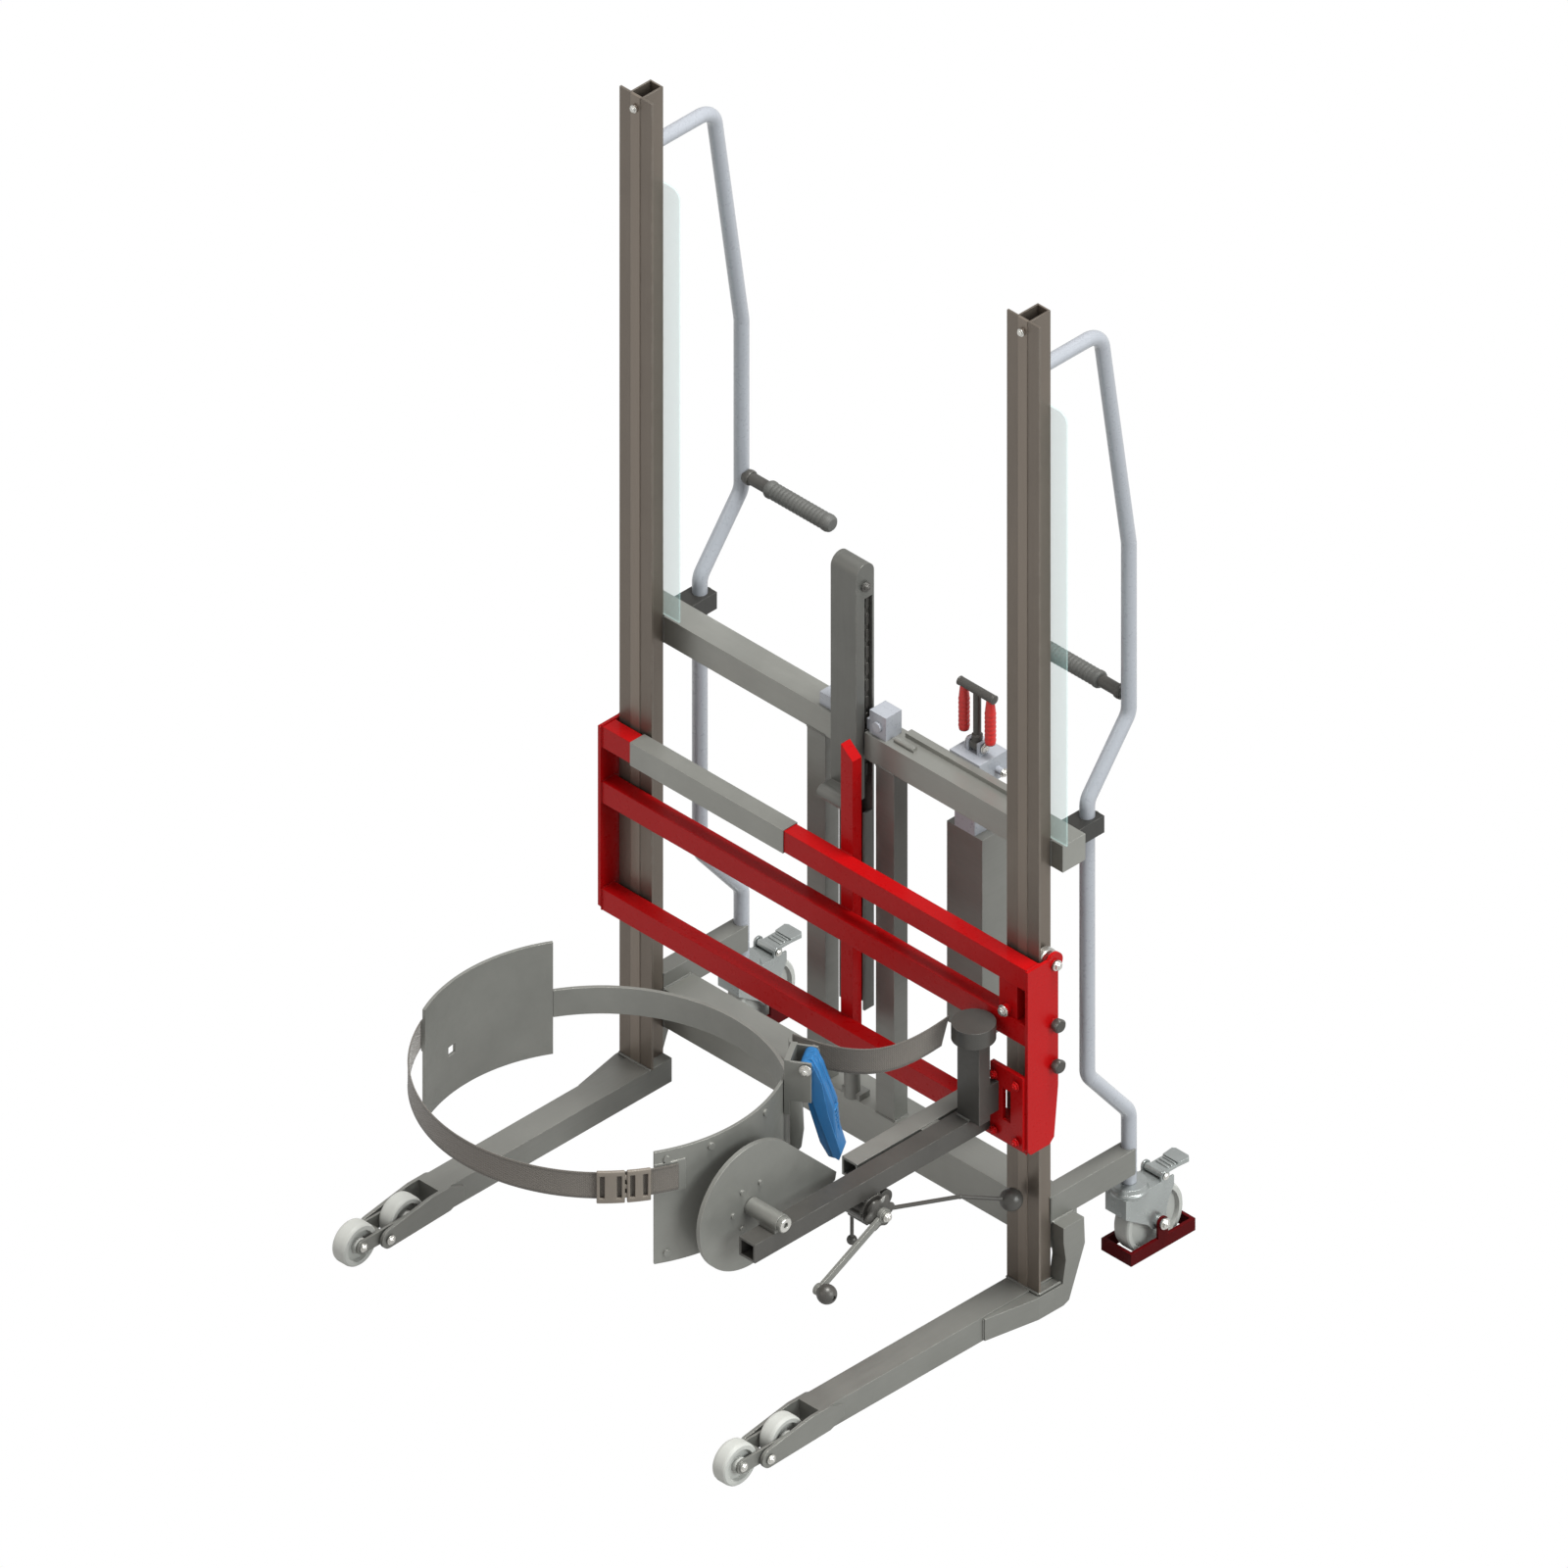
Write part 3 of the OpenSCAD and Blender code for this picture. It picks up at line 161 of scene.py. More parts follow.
def lobed(profile, count, depth, hub=0):
    """A turned shape with dents round its rim, outside a hub of that radius in millimetres."""
    bm = turned(profile, 60)
    for vert in bm.verts:
        if vert.co.xy.length > hub * MM:
            a = math.atan2(vert.co.y, vert.co.x)
            dent = 1 - depth * (0.5 + 0.5 * math.cos(count * a))
            vert.co.x *= dent
            vert.co.y *= dent
    return bm


def block(low, high, bevel):
    """A block between two corners in millimetres with rounded edges."""
    low, high = Vector(low), Vector(high)
    bm = bmesh.new()
    bmesh.ops.create_cube(bm, size=1)
    bmesh.ops.scale(bm, vec=(high - low) * MM, verts=bm.verts)
    bmesh.ops.translate(bm, vec=(high + low) * MM / 2, verts=bm.verts)
    round_edges(bm, bm.edges[:], bevel)
    return bm


def slab(outline, low, high, bevel):
    """A plate between low and high across Y, from (x, z) points in millimetres."""
    bm = bmesh.new()
    face = bm.faces.new([bm.verts.new((x * MM, low * MM, z * MM)) for x, z in outline])
    thicken(bm, [face], (high - low) * MM)
    round_edges(bm, bm.edges[:], bevel, clamp=True)
    return bm


# Width across the flats of a hexagon over the radius to its corners
FLATS_PER_RADIUS = 1.732
WASHER_THICK, WASHER_PER_HEAD = 1.4, 0.78
# Heads sink a little into their washers, and studs stand out of the heads
HEAD_LIFT, STUD_LENGTH = 1.2, 1.3
BOLT_TURN = 0.3
# Rounding of a head over its width, and the tip of a stud over its foot
HEAD_ROUND, STUD_TIP = 0.07, 0.86


def hex_head(across, height, stud):
    """A bolt head on its washer, and the end of its stud where that has a radius."""
    bm = bmesh.new()
    ring = bmesh.ops.create_circle(bm, cap_ends=True, radius=across * MM / FLATS_PER_RADIUS, segments=6)
    face = ring["verts"][0].link_faces[0]
    top = only_verts(bmesh.ops.extrude_face_region(bm, geom=[face]))
    bmesh.ops.translate(bm, vec=(0, 0, height * MM), verts=top)
    rim = [e for e in bm.edges if all(v in top for v in e.verts)]
    round_edges(bm, rim, across * HEAD_ROUND)
    bmesh.ops.translate(bm, vec=(0, 0, HEAD_LIFT * MM), verts=bm.verts)
    r = across * WASHER_PER_HEAD
    add(bm, turned([(0, 0), (r, 0), (r, WASHER_THICK - 0.5), (r - 0.4, WASHER_THICK),
                    (0, WASHER_THICK)], 24))
    if stud:
        foot = height + STUD_LENGTH
        tip = foot + STUD_LENGTH
        add(bm, turned([(0, foot), (stud, foot), (stud * STUD_TIP, tip), (0, tip)], 16))
    return bm


# Length of one ripple of a weld in millimetres, how much wider its crest is, and its narrow start
RIPPLE, SWELL, START_SHARE, START_SWELL = 3.2, 1.12, 0.7, 1.32


def weld(bm, start, end, radius):
    """A rippled weld bead between two points in millimetres."""
    a, b = at(*start), at(*end)
    run = (b - a).length
    count = max(3, round(run / (RIPPLE * MM)))
    part = bmesh.new()
    bmesh.ops.create_circle(part, cap_ends=True, radius=radius * MM * START_SHARE, segments=8)
    edges = part.edges[:]
    for i in range(count * 2):
        lift = bmesh.ops.extrude_edge_only(part, edges=edges)
        verts = only_verts(lift)
        edges = [g for g in lift["geom"] if isinstance(g, bmesh.types.BMEdge)]
        edges = [e for e in edges if all(v in verts for v in e.verts)]
        bmesh.ops.translate(part, vec=(0, 0, run / count / 2), verts=verts)
        # The first ring opens from the narrow end, the others swell and shrink in turn
        grow = START_SWELL if i == 0 else SWELL if i % 2 == 0 else 1 / SWELL
        bmesh.ops.scale(part, vec=(grow, grow, 1), verts=verts)
    bmesh.ops.holes_fill(part, edges=edges)
    add(bm, part, aimed(a, b - a))


# Finishes

def feed(socket, value):
    """Links the output value to a node's input, or sets the input to a plain value."""
    if isinstance(value, bpy.types.NodeSocket):
        socket.id_data.links.new(value, socket)
    else:
        socket.default_value = value


def dial(made, *inputs, **values):
    """Sets a node up: its settings, its inputs by name with _ for a space, and inputs in order."""
    named = {key: key.replace("_", " ") for key in values}
    for key, value in values.items():
        if named[key] not in made.inputs:
            setattr(made, key, value)
    for key, value in values.items():
        if named[key] in made.inputs:
            feed(made.inputs[named[key]], value)
    for socket, value in zip(made.inputs, inputs):
        feed(socket, value)
    return made


def maker(tree):
    """A short way to add nodes to tree."""
    def node(kind, *inputs, **values):
        return dial(tree.nodes.new("ShaderNode" + kind), *inputs, **values)
    return node


def blank(name):
    """A new material, its shader and a node maker for its tree."""
    mat = bpy.data.materials.new(name)
    mat.use_nodes = True
    tree = mat.node_tree
    return mat, tree.nodes["Principled BSDF"], maker(tree)


def ramp(node, share, stops):
    """The colour at share on a ramp with the given (place, colour) stops."""
    made = node("ValToRGB", Fac=share)
    bar = made.color_ramp
    while len(bar.elements) < len(stops):
        bar.elements.new(0.5)
    for element, (place, colour) in zip(bar.elements, stops):
        element.position = place
        element.color = (*colour, 1)
    return made.outputs["Color"]


def grey(value):
    return (value,) * 3


def scaled(colour, by):
    return tuple(min(1.0, c * by) for c in colour[:3])


# Sockets of a colour mix: its share, the two colours, and the outcome
MIX_SHARE, MIX_UNDER, MIX_OVER, MIX_OUT = 0, 6, 7, 2


def mixed(node, share, under, over, blend="MIX"):
    """The colour over laid on the colour under."""
    mix = node("Mix", data_type="RGBA", blend_type=blend)
    feed(mix.inputs[MIX_SHARE], share)
    feed(mix.inputs[MIX_UNDER], under)
    feed(mix.inputs[MIX_OVER], over)
    return mix.outputs[MIX_OUT]


def edge_sheen_and_wear(node, place, edge, sheen_and_wear):
    """How far the edges are lightened, as a painted edge highlight and as wearing of the finish: most on the
    edges, and in blotches.
    """
    shape = node("NewGeometry")
    wide = node("Bevel", samples=4, Radius=edge * 1.6 * MM)
    dot = node("VectorMath", wide.outputs["Normal"], shape.outputs["Normal"], operation="DOT_PRODUCT")
    # Edges where the rounded normal bends away are lightened: painted edge highlight, together with wearing
    # of the finish
    edge_sheen_and_rub = node("MapRange", Value=dot.outputs["Value"], From_Min=0.995, From_Max=0.86, To_Max=sheen_and_wear)
    blotch = node("TexNoise", Vector=place, Scale=38.0, Detail=4.0)
    spots = ramp(node, blotch.outputs["Fac"], [(0.4, grey(0.15)), (0.6, grey(1.0))])
    both = node("Math", edge_sheen_and_rub.outputs["Result"], spots, operation="MULTIPLY", use_clamp=True)
    return both.outputs["Value"]


def strip(node, place, middle, half):
    """One where X, left or right of the part's middle, is within half of middle, else zero."""
    value = node("SeparateXYZ", Vector=place).outputs["X"]
    for kind, number in (("ABSOLUTE", 0.0), ("SUBTRACT", middle), ("ABSOLUTE", 0.0), ("LESS_THAN", half)):
        value = node("Math", value, number, operation=kind).outputs["Value"]
    return value


def surface(name, colour, rough, vary, grain, bump, metallic=0.0, sheen_and_wear=0.0, sheen_and_worn=(0.45, 0.44, 0.41),
            coat=0.0, edge=1.2, spec=0.5, band=None):
    """Paint or metal: cloudy colour, fine grain in gloss and height, and lighter edges that are a painted
    edge highlight together with wearing of the finish.

    The grain is one number, or three along X, Y and Z. The edges look rounded by edge, in
    millimetres. A band is a colour with the middle and half the width, in metres, of a strip on
    both sides of the part that has this colour.
    """
    mat, shader, node = blank(name)
    place = node("TexCoord").outputs["Object"]
    cloud = node("TexNoise", Vector=place, Scale=7.0, Detail=5.0, Roughness=0.6)
    out = ramp(node, cloud.outputs["Fac"], [(0.25, scaled(colour, 1 - vary)), (0.5, colour[:3]),
                                            (0.78, scaled(colour, 1 + vary))])
    stretch = node("Mapping", Vector=place, Scale=grain if isinstance(grain, tuple) else (grain,) * 3)
    fine = node("TexNoise", Vector=stretch.outputs["Vector"], Scale=12.0, Detail=6.0, Roughness=0.7)
    gloss = node("MapRange", Value=fine.outputs["Fac"], From_Min=0.3, From_Max=0.7,
                 To_Min=max(0.05, rough - 0.07), To_Max=rough + 0.08)
    rounded = node("Bevel", samples=4, Radius=edge * MM)
    height = node("Bump", Strength=bump, Distance=0.0006, Height=fine.outputs["Fac"],
                  Normal=rounded.outputs["Normal"])
    # Edges lightened towards the given colour: a painted edge highlight together with wearing of the finish
    if sheen_and_wear:
        out = mixed(node, edge_sheen_and_wear(node, place, edge, sheen_and_wear), out, (*sheen_and_worn, 1))
    if band:
        tone, middle, half = band
        out = mixed(node, strip(node, place, middle, half), out, (*tone, 1))
    dial(shader, Base_Color=out, Roughness=gloss.outputs["Result"], Normal=height.outputs["Normal"],
         Metallic=metallic, Coat_Weight=coat, Coat_Roughness=0.12, Specular_IOR_Level=spec)
    return mat


def webbing(name, colour):
    """Woven strap: ribs across, yarn crossings, stripes along both edges. Reads the piece's UV map."""
    mat, shader, node = blank(name)
    uv = node("UVMap", uv_map="weave").outputs["UV"]
    slant = node("Mapping", Vector=uv, Rotation=(0, 0, 0.9)).outputs["Vector"]
    ribs = node("TexWave", bands_direction="X", Vector=uv, Scale=95.0, Distortion=0.6, Detail=2.0)
    yarn = node("TexWave", bands_direction="Y", Vector=uv, Scale=160.0, Distortion=0.4)
    twill = node("TexWave", bands_direction="X", Vector=slant, Scale=120.0)
    cross = node("Math", ribs.outputs["Fac"], yarn.outputs["Fac"], operation="MULTIPLY")
    weave = node("Math", cross.outputs["Value"], twill.outputs["Fac"], operation="ADD").outputs["Value"]
    # Darker stripes along both edges, from the height over the strap's width
    up = node("SeparateXYZ", Vector=uv).outputs["Y"]
    share = node("Math", up, 0.05, operation="DIVIDE").outputs["Value"]
    edge_tone = scaled(colour, 0.72)
    stripe = ramp(node, share, [(0.0, edge_tone), (0.1, edge_tone), (0.12, colour[:3]),
                                (0.88, colour[:3]), (0.9, edge_tone)])
    shade = ramp(node, weave, [(0.1, grey(0.62)), (1.0, grey(1.12))])
    height = node("Bump", Strength=0.55, Distance=0.0005, Height=weave)
    dial(shader, Base_Color=mixed(node, 1.0, stripe, shade, "MULTIPLY"), Normal=height.outputs["Normal"],
         Roughness=0.82, Sheen_Weight=0.35)
    return mat


def clear_sheet(name, colour):
    """Pale clear plastic with faint scuffs."""
    mat, shader, node = blank(name)
    place = node("TexCoord").outputs["Object"]
    scuff = node("TexNoise", Vector=place, Scale=90.0, Detail=6.0).outputs["Fac"]
    haze = ramp(node, scuff, [(0.35, grey(0.1)), (0.75, grey(0.3))])
    tint = ramp(node, scuff, [(0.2, scaled(colour, 0.95)), (0.8, scaled(colour, 1.04))])
    dial(shader, Base_Color=tint, Roughness=haze, Alpha=0.22, IOR=1.49)
    mat.surface_render_method = "BLENDED"
    return mat


FINISH = {}


def finish(name):
    if name not in FINISH:
        raise RuntimeError("make the finishes before a piece uses " + name)
    return FINISH[name]


# Sizes and colours a user would change

def colour_setting(name, words, value):
    return FloatVectorProperty(name=name, description=words, subtype="COLOR", size=3,
                               min=0, max=1, default=value)


def size_setting(name, words, value, low, high):
    return FloatProperty(name=name, description=words, subtype="DISTANCE", unit="LENGTH",
                         min=low, max=high, default=value)


class TipperColours(PropertyGroup):
    steel: colour_setting("Frame steel", "Brushed steel of legs, beams and cradle", (0.2, 0.2, 0.185))
    mast: colour_setting("Mast steel", "Warmer steel of the two masts", (0.158, 0.132, 0.109))
    tube: colour_setting("Handle tube", "Pale paint of the handle tubes", (0.33, 0.345, 0.38))
    red: colour_setting("Carriage red", "Gloss paint of the carriage", (0.36, 0.003, 0.004))
    toe_red: colour_setting("Toe guard red", "Deep red of the toe guards", (0.06, 0.0012, 0.002))
    dark: colour_setting("Arm black", "Paint of the tipping arm and its levers", (0.06, 0.057, 0.052))
    strap: colour_setting("Webbing", "Yarn of the strap", (0.12, 0.105, 0.09))
    blue: colour_setting("Ratchet blue", "Plastic of the ratchet lever", (0.012, 0.11, 0.28))
    zinc: colour_setting("Zinc plate", "Plated sheet of the casters", (0.36, 0.38, 0.375))
    nylon: colour_setting("Wheel nylon", "Tyres of all six wheels", (0.38, 0.385, 0.365))


class TipperSizes(PropertyGroup):
    strap_width: size_setting("Strap width", "Width of the strap", 0.050, 0.03, 0.06)
    strap_thick: size_setting("Strap thickness", "Thickness of the webbing", 0.0028, 0.001, 0.004)
    bead: size_setting("Weld bead", "Radius of a weld bead", 0.0026, 0.001, 0.004)
    grip_ribs: IntProperty(name="Grip ribs", description="Ribs on each hand grip", min=4, max=30, default=14)


def colours():
    return bpy.context.scene.tipper_colours


def sizes():
    return bpy.context.scene.tipper_sizes


def looks(c):
    """Every finish by its short name, from the colours that the user sets."""
    # The edge settings in these finishes give lighter edges: painted edge highlight together with wearing of
    # the finish
    brushed = {"rough": 0.42, "metallic": 0.55, "vary": 0.1, "bump": 0.05, "sheen_and_wear": 0.35}
    red_gloss = {"rough": 0.3, "vary": 0.04, "grain": 8, "bump": 0.015, "sheen_and_wear": 0.03,
                 "sheen_and_worn": (0.6, 0.05, 0.04), "coat": 0.05, "spec": 0.12}
    beads = {"vary": 0.25, "grain": 30, "bump": 0.2, "edge": 0.4}
    # The raised bead down the front of a mast, and the studs' ends past the side plates
    mast_bead = (scaled(c.mast, 1.35), MAST_X * MM, 0.0101)
    studs = (c.dark[:], 0.4850, 0.0085)
    return {
        "steel": surface("brushed_frame_steel", c.steel, grain=(1, 1, 14), **brushed),
        "beam": surface("brushed_beam_steel", scaled(c.steel, 1.35), grain=(1, 14, 14),
                        **{**brushed, "rough": 0.36}),
        "column": surface("brushed_column_steel", scaled(c.steel, 0.72), grain=(14, 14, 1), **brushed),
        "leg": surface("brushed_leg_steel", c.steel, grain=(14, 1, 14), **brushed),
        "mast": surface("mast_steel", c.mast, rough=0.36, metallic=0.6, vary=0.07, grain=(14, 14, 0.6),
                        bump=0.05, sheen_and_wear=0.3, band=mast_bead),
        "plate": surface("cradle_plate", scaled(c.steel, 1.05), rough=0.46, metallic=0.5, vary=0.12,
                         grain=3, bump=0.06, sheen_and_wear=0.45),
        "tube": surface("pale_tube_paint", c.tube, rough=0.3, metallic=0.05, vary=0.04, grain=9,
                        bump=0.02, coat=0.3),
        "red": surface("carriage_red_paint", c.red, **red_gloss),
        "red_studs": surface("side_plate_red_paint", c.red, band=studs, **red_gloss),
        "toe_red": surface("toe_guard_paint", c.toe_red, rough=0.4, vary=0.15, grain=8, bump=0.04,
                           sheen_and_wear=0.1, sheen_and_worn=(0.25, 0.02, 0.02), spec=0.05),
        "dark": surface("arm_black_paint", c.dark, rough=0.38, metallic=0.2, vary=0.2, grain=10,
                        bump=0.08, sheen_and_wear=0.4, sheen_and_worn=(0.28, 0.27, 0.25)),
        "clamp": surface("clamp_black_paint", scaled(c.dark, 0.35), rough=0.4, vary=0.1, grain=10,
                         bump=0.06, sheen_and_wear=0.2),
        "rubber": surface("grip_rubber", (0.085, 0.085, 0.08), rough=0.62, vary=0.2, grain=20, bump=0.2),
        "blue": surface("ratchet_plastic", c.blue, rough=0.36, vary=0.18, grain=12, bump=0.08, sheen_and_wear=0.3,
                        sheen_and_worn=(0.2, 0.45, 0.75)),
        "zinc": surface("zinc_sheet", c.zinc, rough=0.3, metallic=0.75, vary=0.1, grain=5, bump=0.04,
                        sheen_and_wear=0.2, sheen_and_worn=(0.85, 0.86, 0.84)),
        "bright": surface("bright_fastener", (0.62, 0.61, 0.58), rough=0.28, metallic=0.9, vary=0.1,
                          grain=8, bump=0.05, sheen_and_wear=0.2, sheen_and_worn=(0.85, 0.84, 0.8), edge=0.5),
        "nylon": surface("wheel_nylon", c.nylon, rough=0.5, vary=0.06, grain=16, bump=0.06),
        "buckle": surface("buckle_plastic", (0.17, 0.145, 0.12), rough=0.45, vary=0.1, grain=14,
                          bump=0.1, sheen_and_wear=0.15, sheen_and_worn=(0.35, 0.31, 0.27), edge=0.6),
        "seam": surface("weld_seam", scaled(c.steel, 0.82), rough=0.46, metallic=0.55, **beads),
        "red_seam": surface("painted_seam", scaled(c.red, 0.85), rough=0.34, coat=0.05, spec=0.12,
                            **beads),
        "pump_red": surface("pump_grip_red", (0.5, 0.015, 0.012), rough=0.4, vary=0.15, grain=20,
                            bump=0.15),
        "web": webbing("strap_webbing", c.strap),
        "clear": clear_sheet("clear_guard", (0.66, 0.98, 0.95)),
    }


# Which of the frame's own parts get each finish
WEARERS = {
    "steel": ["knee_brackets", "centre_posts", "lift_barrel", "pump_tank"],
    "column": ["column"],
    "beam": ["lower_cross_beam", "upper_cross_member", "rail_sleeve"],
    "leg": ["leg_left", "leg_right", "side_beams", "bogie_left", "bogie_right"],
    "mast": ["mast_left", "mast_right"],
    "plate": ["arm_beam", "pivot_disc", "saddle_right", "saddle_left", "rear_band", "ratchet_body",
              "pivot_housing", "crank_arm"],
    "tube": ["handle_tube_left", "handle_tube_right", "guide_block", "pump_head"],
    "red": ["carriage_bars", "carriage_upright"],
    "red_studs": ["carriage_plates"],
    "toe_red": ["toe_guard_left", "toe_guard_right"],
    "clamp": ["tube_clamps"],
    "dark": ["tipper_arm", "gearbox", "crank_knob", "release_lever", "lock_lever", "pump_handle",
             "lift_chain"],
    "rubber": ["hand_grips"],
    "blue": ["ratchet_handle"],
    "zinc": ["caster_fork_left", "caster_fork_right", "brake_pedal_left", "brake_pedal_right"],
    "bright": ["lift_ram", "chain_sheave", "guide_roller_left", "guide_roller_right"],
    "nylon": ["caster_wheel_left", "caster_wheel_right", "load_wheel_left_front", "load_wheel_left_rear",
              "load_wheel_right_front", "load_wheel_right_rear"],
    "buckle": ["strap_buckle"],
    "web": ["front_strap", "strap_tail"],
    "clear": ["guard_strips"],
}


class TipperOperator:
    """What all operators of the tipper share."""
    bl_options = {"REGISTER", "UNDO"}


class MakeFinishes(TipperOperator, Operator):
    """Make every finish and put it on the frame's own parts"""
    bl_idname = "tipper.finishes"
    bl_label = "Finishes"

    def execute(self, context):
        FINISH.update(looks(colours()))
        given = set()
        for key, names in WEARERS.items():
            for name in names:
                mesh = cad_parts[name].data
                mesh.materials.clear()
                mesh.materials.append(finish(key))
                given.add(name)
        missed = set(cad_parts) - given
        if missed:
            raise RuntimeError("no finish for " + ", ".join(sorted(missed)))
        return {"FINISHED"}


# Webbing

def strap_outline(width, thick):
    """Cross-section of the webbing as (out, up) pairs in metres, with thicker edges."""
    half = thick / 2
    rim = 0.9 * MM
    low = [(half - rim, 0), (half - 0.3 * MM, rim / 2), (half + 0.2 * MM, 2 * MM),
           (half - 0.2 * MM, 5.5 * MM)]
    front = low + [(x, width - z) for x, z in reversed(low)]
    return front + [(-x, z) for x, z in reversed(front)]


def sweep(stations, width, thick):
    """Webbing carried along stations of (point, outward); keeps length and height in a UV map."""
    bm = bmesh.new()
    layer = bm.verts.layers.float.new("run")
    rise = bm.verts.layers.float.new("rise")
    outline = strap_outline(width, thick)

    def place(verts, station, length):
        point, out = station
        for vert, (x, z) in zip(verts, outline):
            vert.co = point + out * x + Z * z
            vert[layer] = length
            vert[rise] = z

    ring = [bm.verts.new() for _ in outline]
    place(ring, stations[0], 0.0)
    for pair in zip(ring, ring[1:] + ring[:1]):
        bm.edges.new(pair)
    bmesh.ops.contextual_create(bm, geom=ring)
    length = 0.0
    for before, station in zip(stations, stations[1:]):
        length += (station[0] - before[0]).length
        edges = [bm.edges.get(pair) for pair in zip(ring, ring[1:] + ring[:1])]
        # Each vertex of the new ring follows the one of the old ring that it hangs on
        partner = {}
        for vert in only_verts(bmesh.ops.extrude_edge_only(bm, edges=edges)):
            for edge in vert.link_edges:
                other = edge.other_vert(vert)
                if other in ring:
                    partner[other] = vert
        ring = [partner[v] for v in ring]
        place(ring, station, length)
    bmesh.ops.contextual_create(bm, geom=ring)
    uv = bm.loops.layers.uv.new("weave")
    for face in bm.faces:
        for loop in face.loops:
            loop[uv].uv = (loop.vert[layer], loop.vert[rise])
    return bm


def arc_stations(radius, start, end, low, count):
    """Stations on a circle about the cradle's axis, angles in degrees, low edge in metres."""
    found = []
    for i in range(count + 1):
        a = math.radians(start + (end - start) * i / count)
        out = Vector((math.cos(a), math.sin(a), 0))
        found.append((CRADLE_AXIS + out * radius + Z * low, out))
    return found


# Half the thickness of the frame's own strap, and how far the buckle stands off its middle
SOLID_HALF, BUCKLE_LIFT = 1.5, 1.8
# Middle of the strap's thickness, and the inner face of the buckle, from the cradle's axis
STRAP_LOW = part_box("front_strap")[0].z
STRAP_R = (CRADLE_AXIS.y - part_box("front_strap")[0].y) - SOLID_HALF * MM
BUCKLE_R = STRAP_R + BUCKLE_LIFT * MM
STRAP_ARC, STRAP_STEPS = (-156.4, -21.6), 150


class MakeFrontStrap(TipperOperator, Operator):
    """Webbing across the front of the cradle, from saddle to saddle"""
    bl_idname = "tipper.front_strap"
    bl_label = "Front strap"

    def execute(self, context):
        s = sizes()
        bm = sweep(arc_stations(STRAP_R, *STRAP_ARC, STRAP_LOW, STRAP_STEPS), s.strap_width, s.strap_thick)
        strap = piece("strap_front_web", bm, "cradle", "web", 50)
        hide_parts("front_strap")
        return {"FINISHED"}


# The tail's curve seen from above, in millimetres across and behind the mast face
TAIL_KNOTS = [(193.2, -273.6, 0), (300, -252, 0), (350, -208, 0), (344.5, -80, 0)]
TAIL_STEPS = 60
# Depth and pace of its wave, its rise to the tip, and the slant of the cut
TAIL_WAVE, TAIL_PACE, TAIL_LIFT, TAIL_SLANT = 1.2, 9.0, 13, 0.45
# Share of the curve on both sides of a station that gives its direction
TAIL_PEEK = 0.005
TAIL_NARROWER = 0.002


def bezier(points, t):
    a, b, c, d = [Vector(p) for p in points]
    s = 1 - t
    return a * s ** 3 + b * 3 * t * s * s + c * 3 * t * t * s + d * t ** 3


class MakeStrapTail(TipperOperator, Operator):
    """Loose end of the webbing behind the right saddle, rising to a cut tip"""
    bl_idname = "tipper.strap_tail"
    bl_label = "Strap tail"

    def execute(self, context):
        s = sizes()
        width = s.strap_width - TAIL_NARROWER
        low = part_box("strap_tail")[0].z
        stations = []
        for i in range(TAIL_STEPS + 1):
            t = i / TAIL_STEPS
            here = bezier(TAIL_KNOTS, max(0, t - TAIL_PEEK))
            ahead = bezier(TAIL_KNOTS, min(1, t + TAIL_PEEK))
            along = (ahead - here).normalized()
            out = Vector((-along.y, along.x, 0))
            mid = bezier(TAIL_KNOTS, t)
            wave = TAIL_WAVE * math.sin(t * TAIL_PACE) * t
            lift = TAIL_LIFT * t ** 3
            stations.append((at(mid.x, mid.y, 0) + out * wave * MM + Z * (low + lift * MM), out))
        bm = sweep(stations, width, s.strap_thick)
        # The end is cut on a slant, so its top corner stands out
        tip = stations[-1][0]
        back = (tip - stations[-2][0]).normalized()
        cut = (back - Z * TAIL_SLANT).normalized()
        bmesh.ops.bisect_plane(bm, geom=bm.verts[:] + bm.edges[:] + bm.faces[:], dist=1e-6,
                               plane_co=tip + Z * width, plane_no=cut, clear_outer=True)
        bmesh.ops.holes_fill(bm, edges=[e for e in bm.edges if e.is_boundary])
        tail = piece("strap_tail_web", bm, "cradle", "web", 50)
        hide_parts("strap_tail")
        return {"FINISHED"}


def bent(bm, radius):
    """Bends a flat plate about the cradle's axis: X becomes the arc, Y the way out, Z stays."""
    for vert in bm.verts:
        arc, out, up = vert.co
        a = arc / radius
        r = radius + out
        vert.co = (CRADLE_AXIS.x + r * math.cos(a), CRADLE_AXIS.y + r * math.sin(a), up)
    return bm


def frame_plate(cells_x, cells_z, holes, thick, bevel):
    """A flat frame from grid lines in metres, with some cells left open; bevel in millimetres."""
    bm = bmesh.new()
    grid = {}
    for i, x in enumerate(cells_x):
        for k, z in enumerate(cells_z):
            grid[i, k] = bm.verts.new((x, 0, z))
    for i in range(len(cells_x) - 1):
        for k in range(len(cells_z) - 1):
            if (i, k) not in holes:
                bm.faces.new((grid[i, k], grid[i + 1, k], grid[i + 1, k + 1], grid[i, k + 1]))
    thicken(bm, bm.faces[:], thick)
    sharp = [e for e in bm.edges if len(e.link_faces) == 2 and e.calc_face_angle() > 0.9]
    round_edges(bm, sharp, bevel, segments=3, clamp=True)
    return bm


# Arcs in degrees of the buckle's two frames and its prongs, and the prongs' places up the buckle
BUCKLE_ARCS = ((-46.5, -38.2), (-37.6, -30.5))
PRONG_ARC = (-38.6, -36.9)
PRONG_HEIGHTS = (0.22, 0.5, 0.78)
BUCKLE_RIM = 0.009
BUCKLE_END, BUCKLE_BAR = 0.005, 0.0125
BUCKLE_WINDOWS = {(1, 1), (4, 1)}
# Thickness in metres of frames and prongs, each with its rounding in millimetres
BUCKLE_PLATE, PRONG_PLATE = (0.0062, 1.6), (0.0046, 1)
PRONG_HALF = 0.004


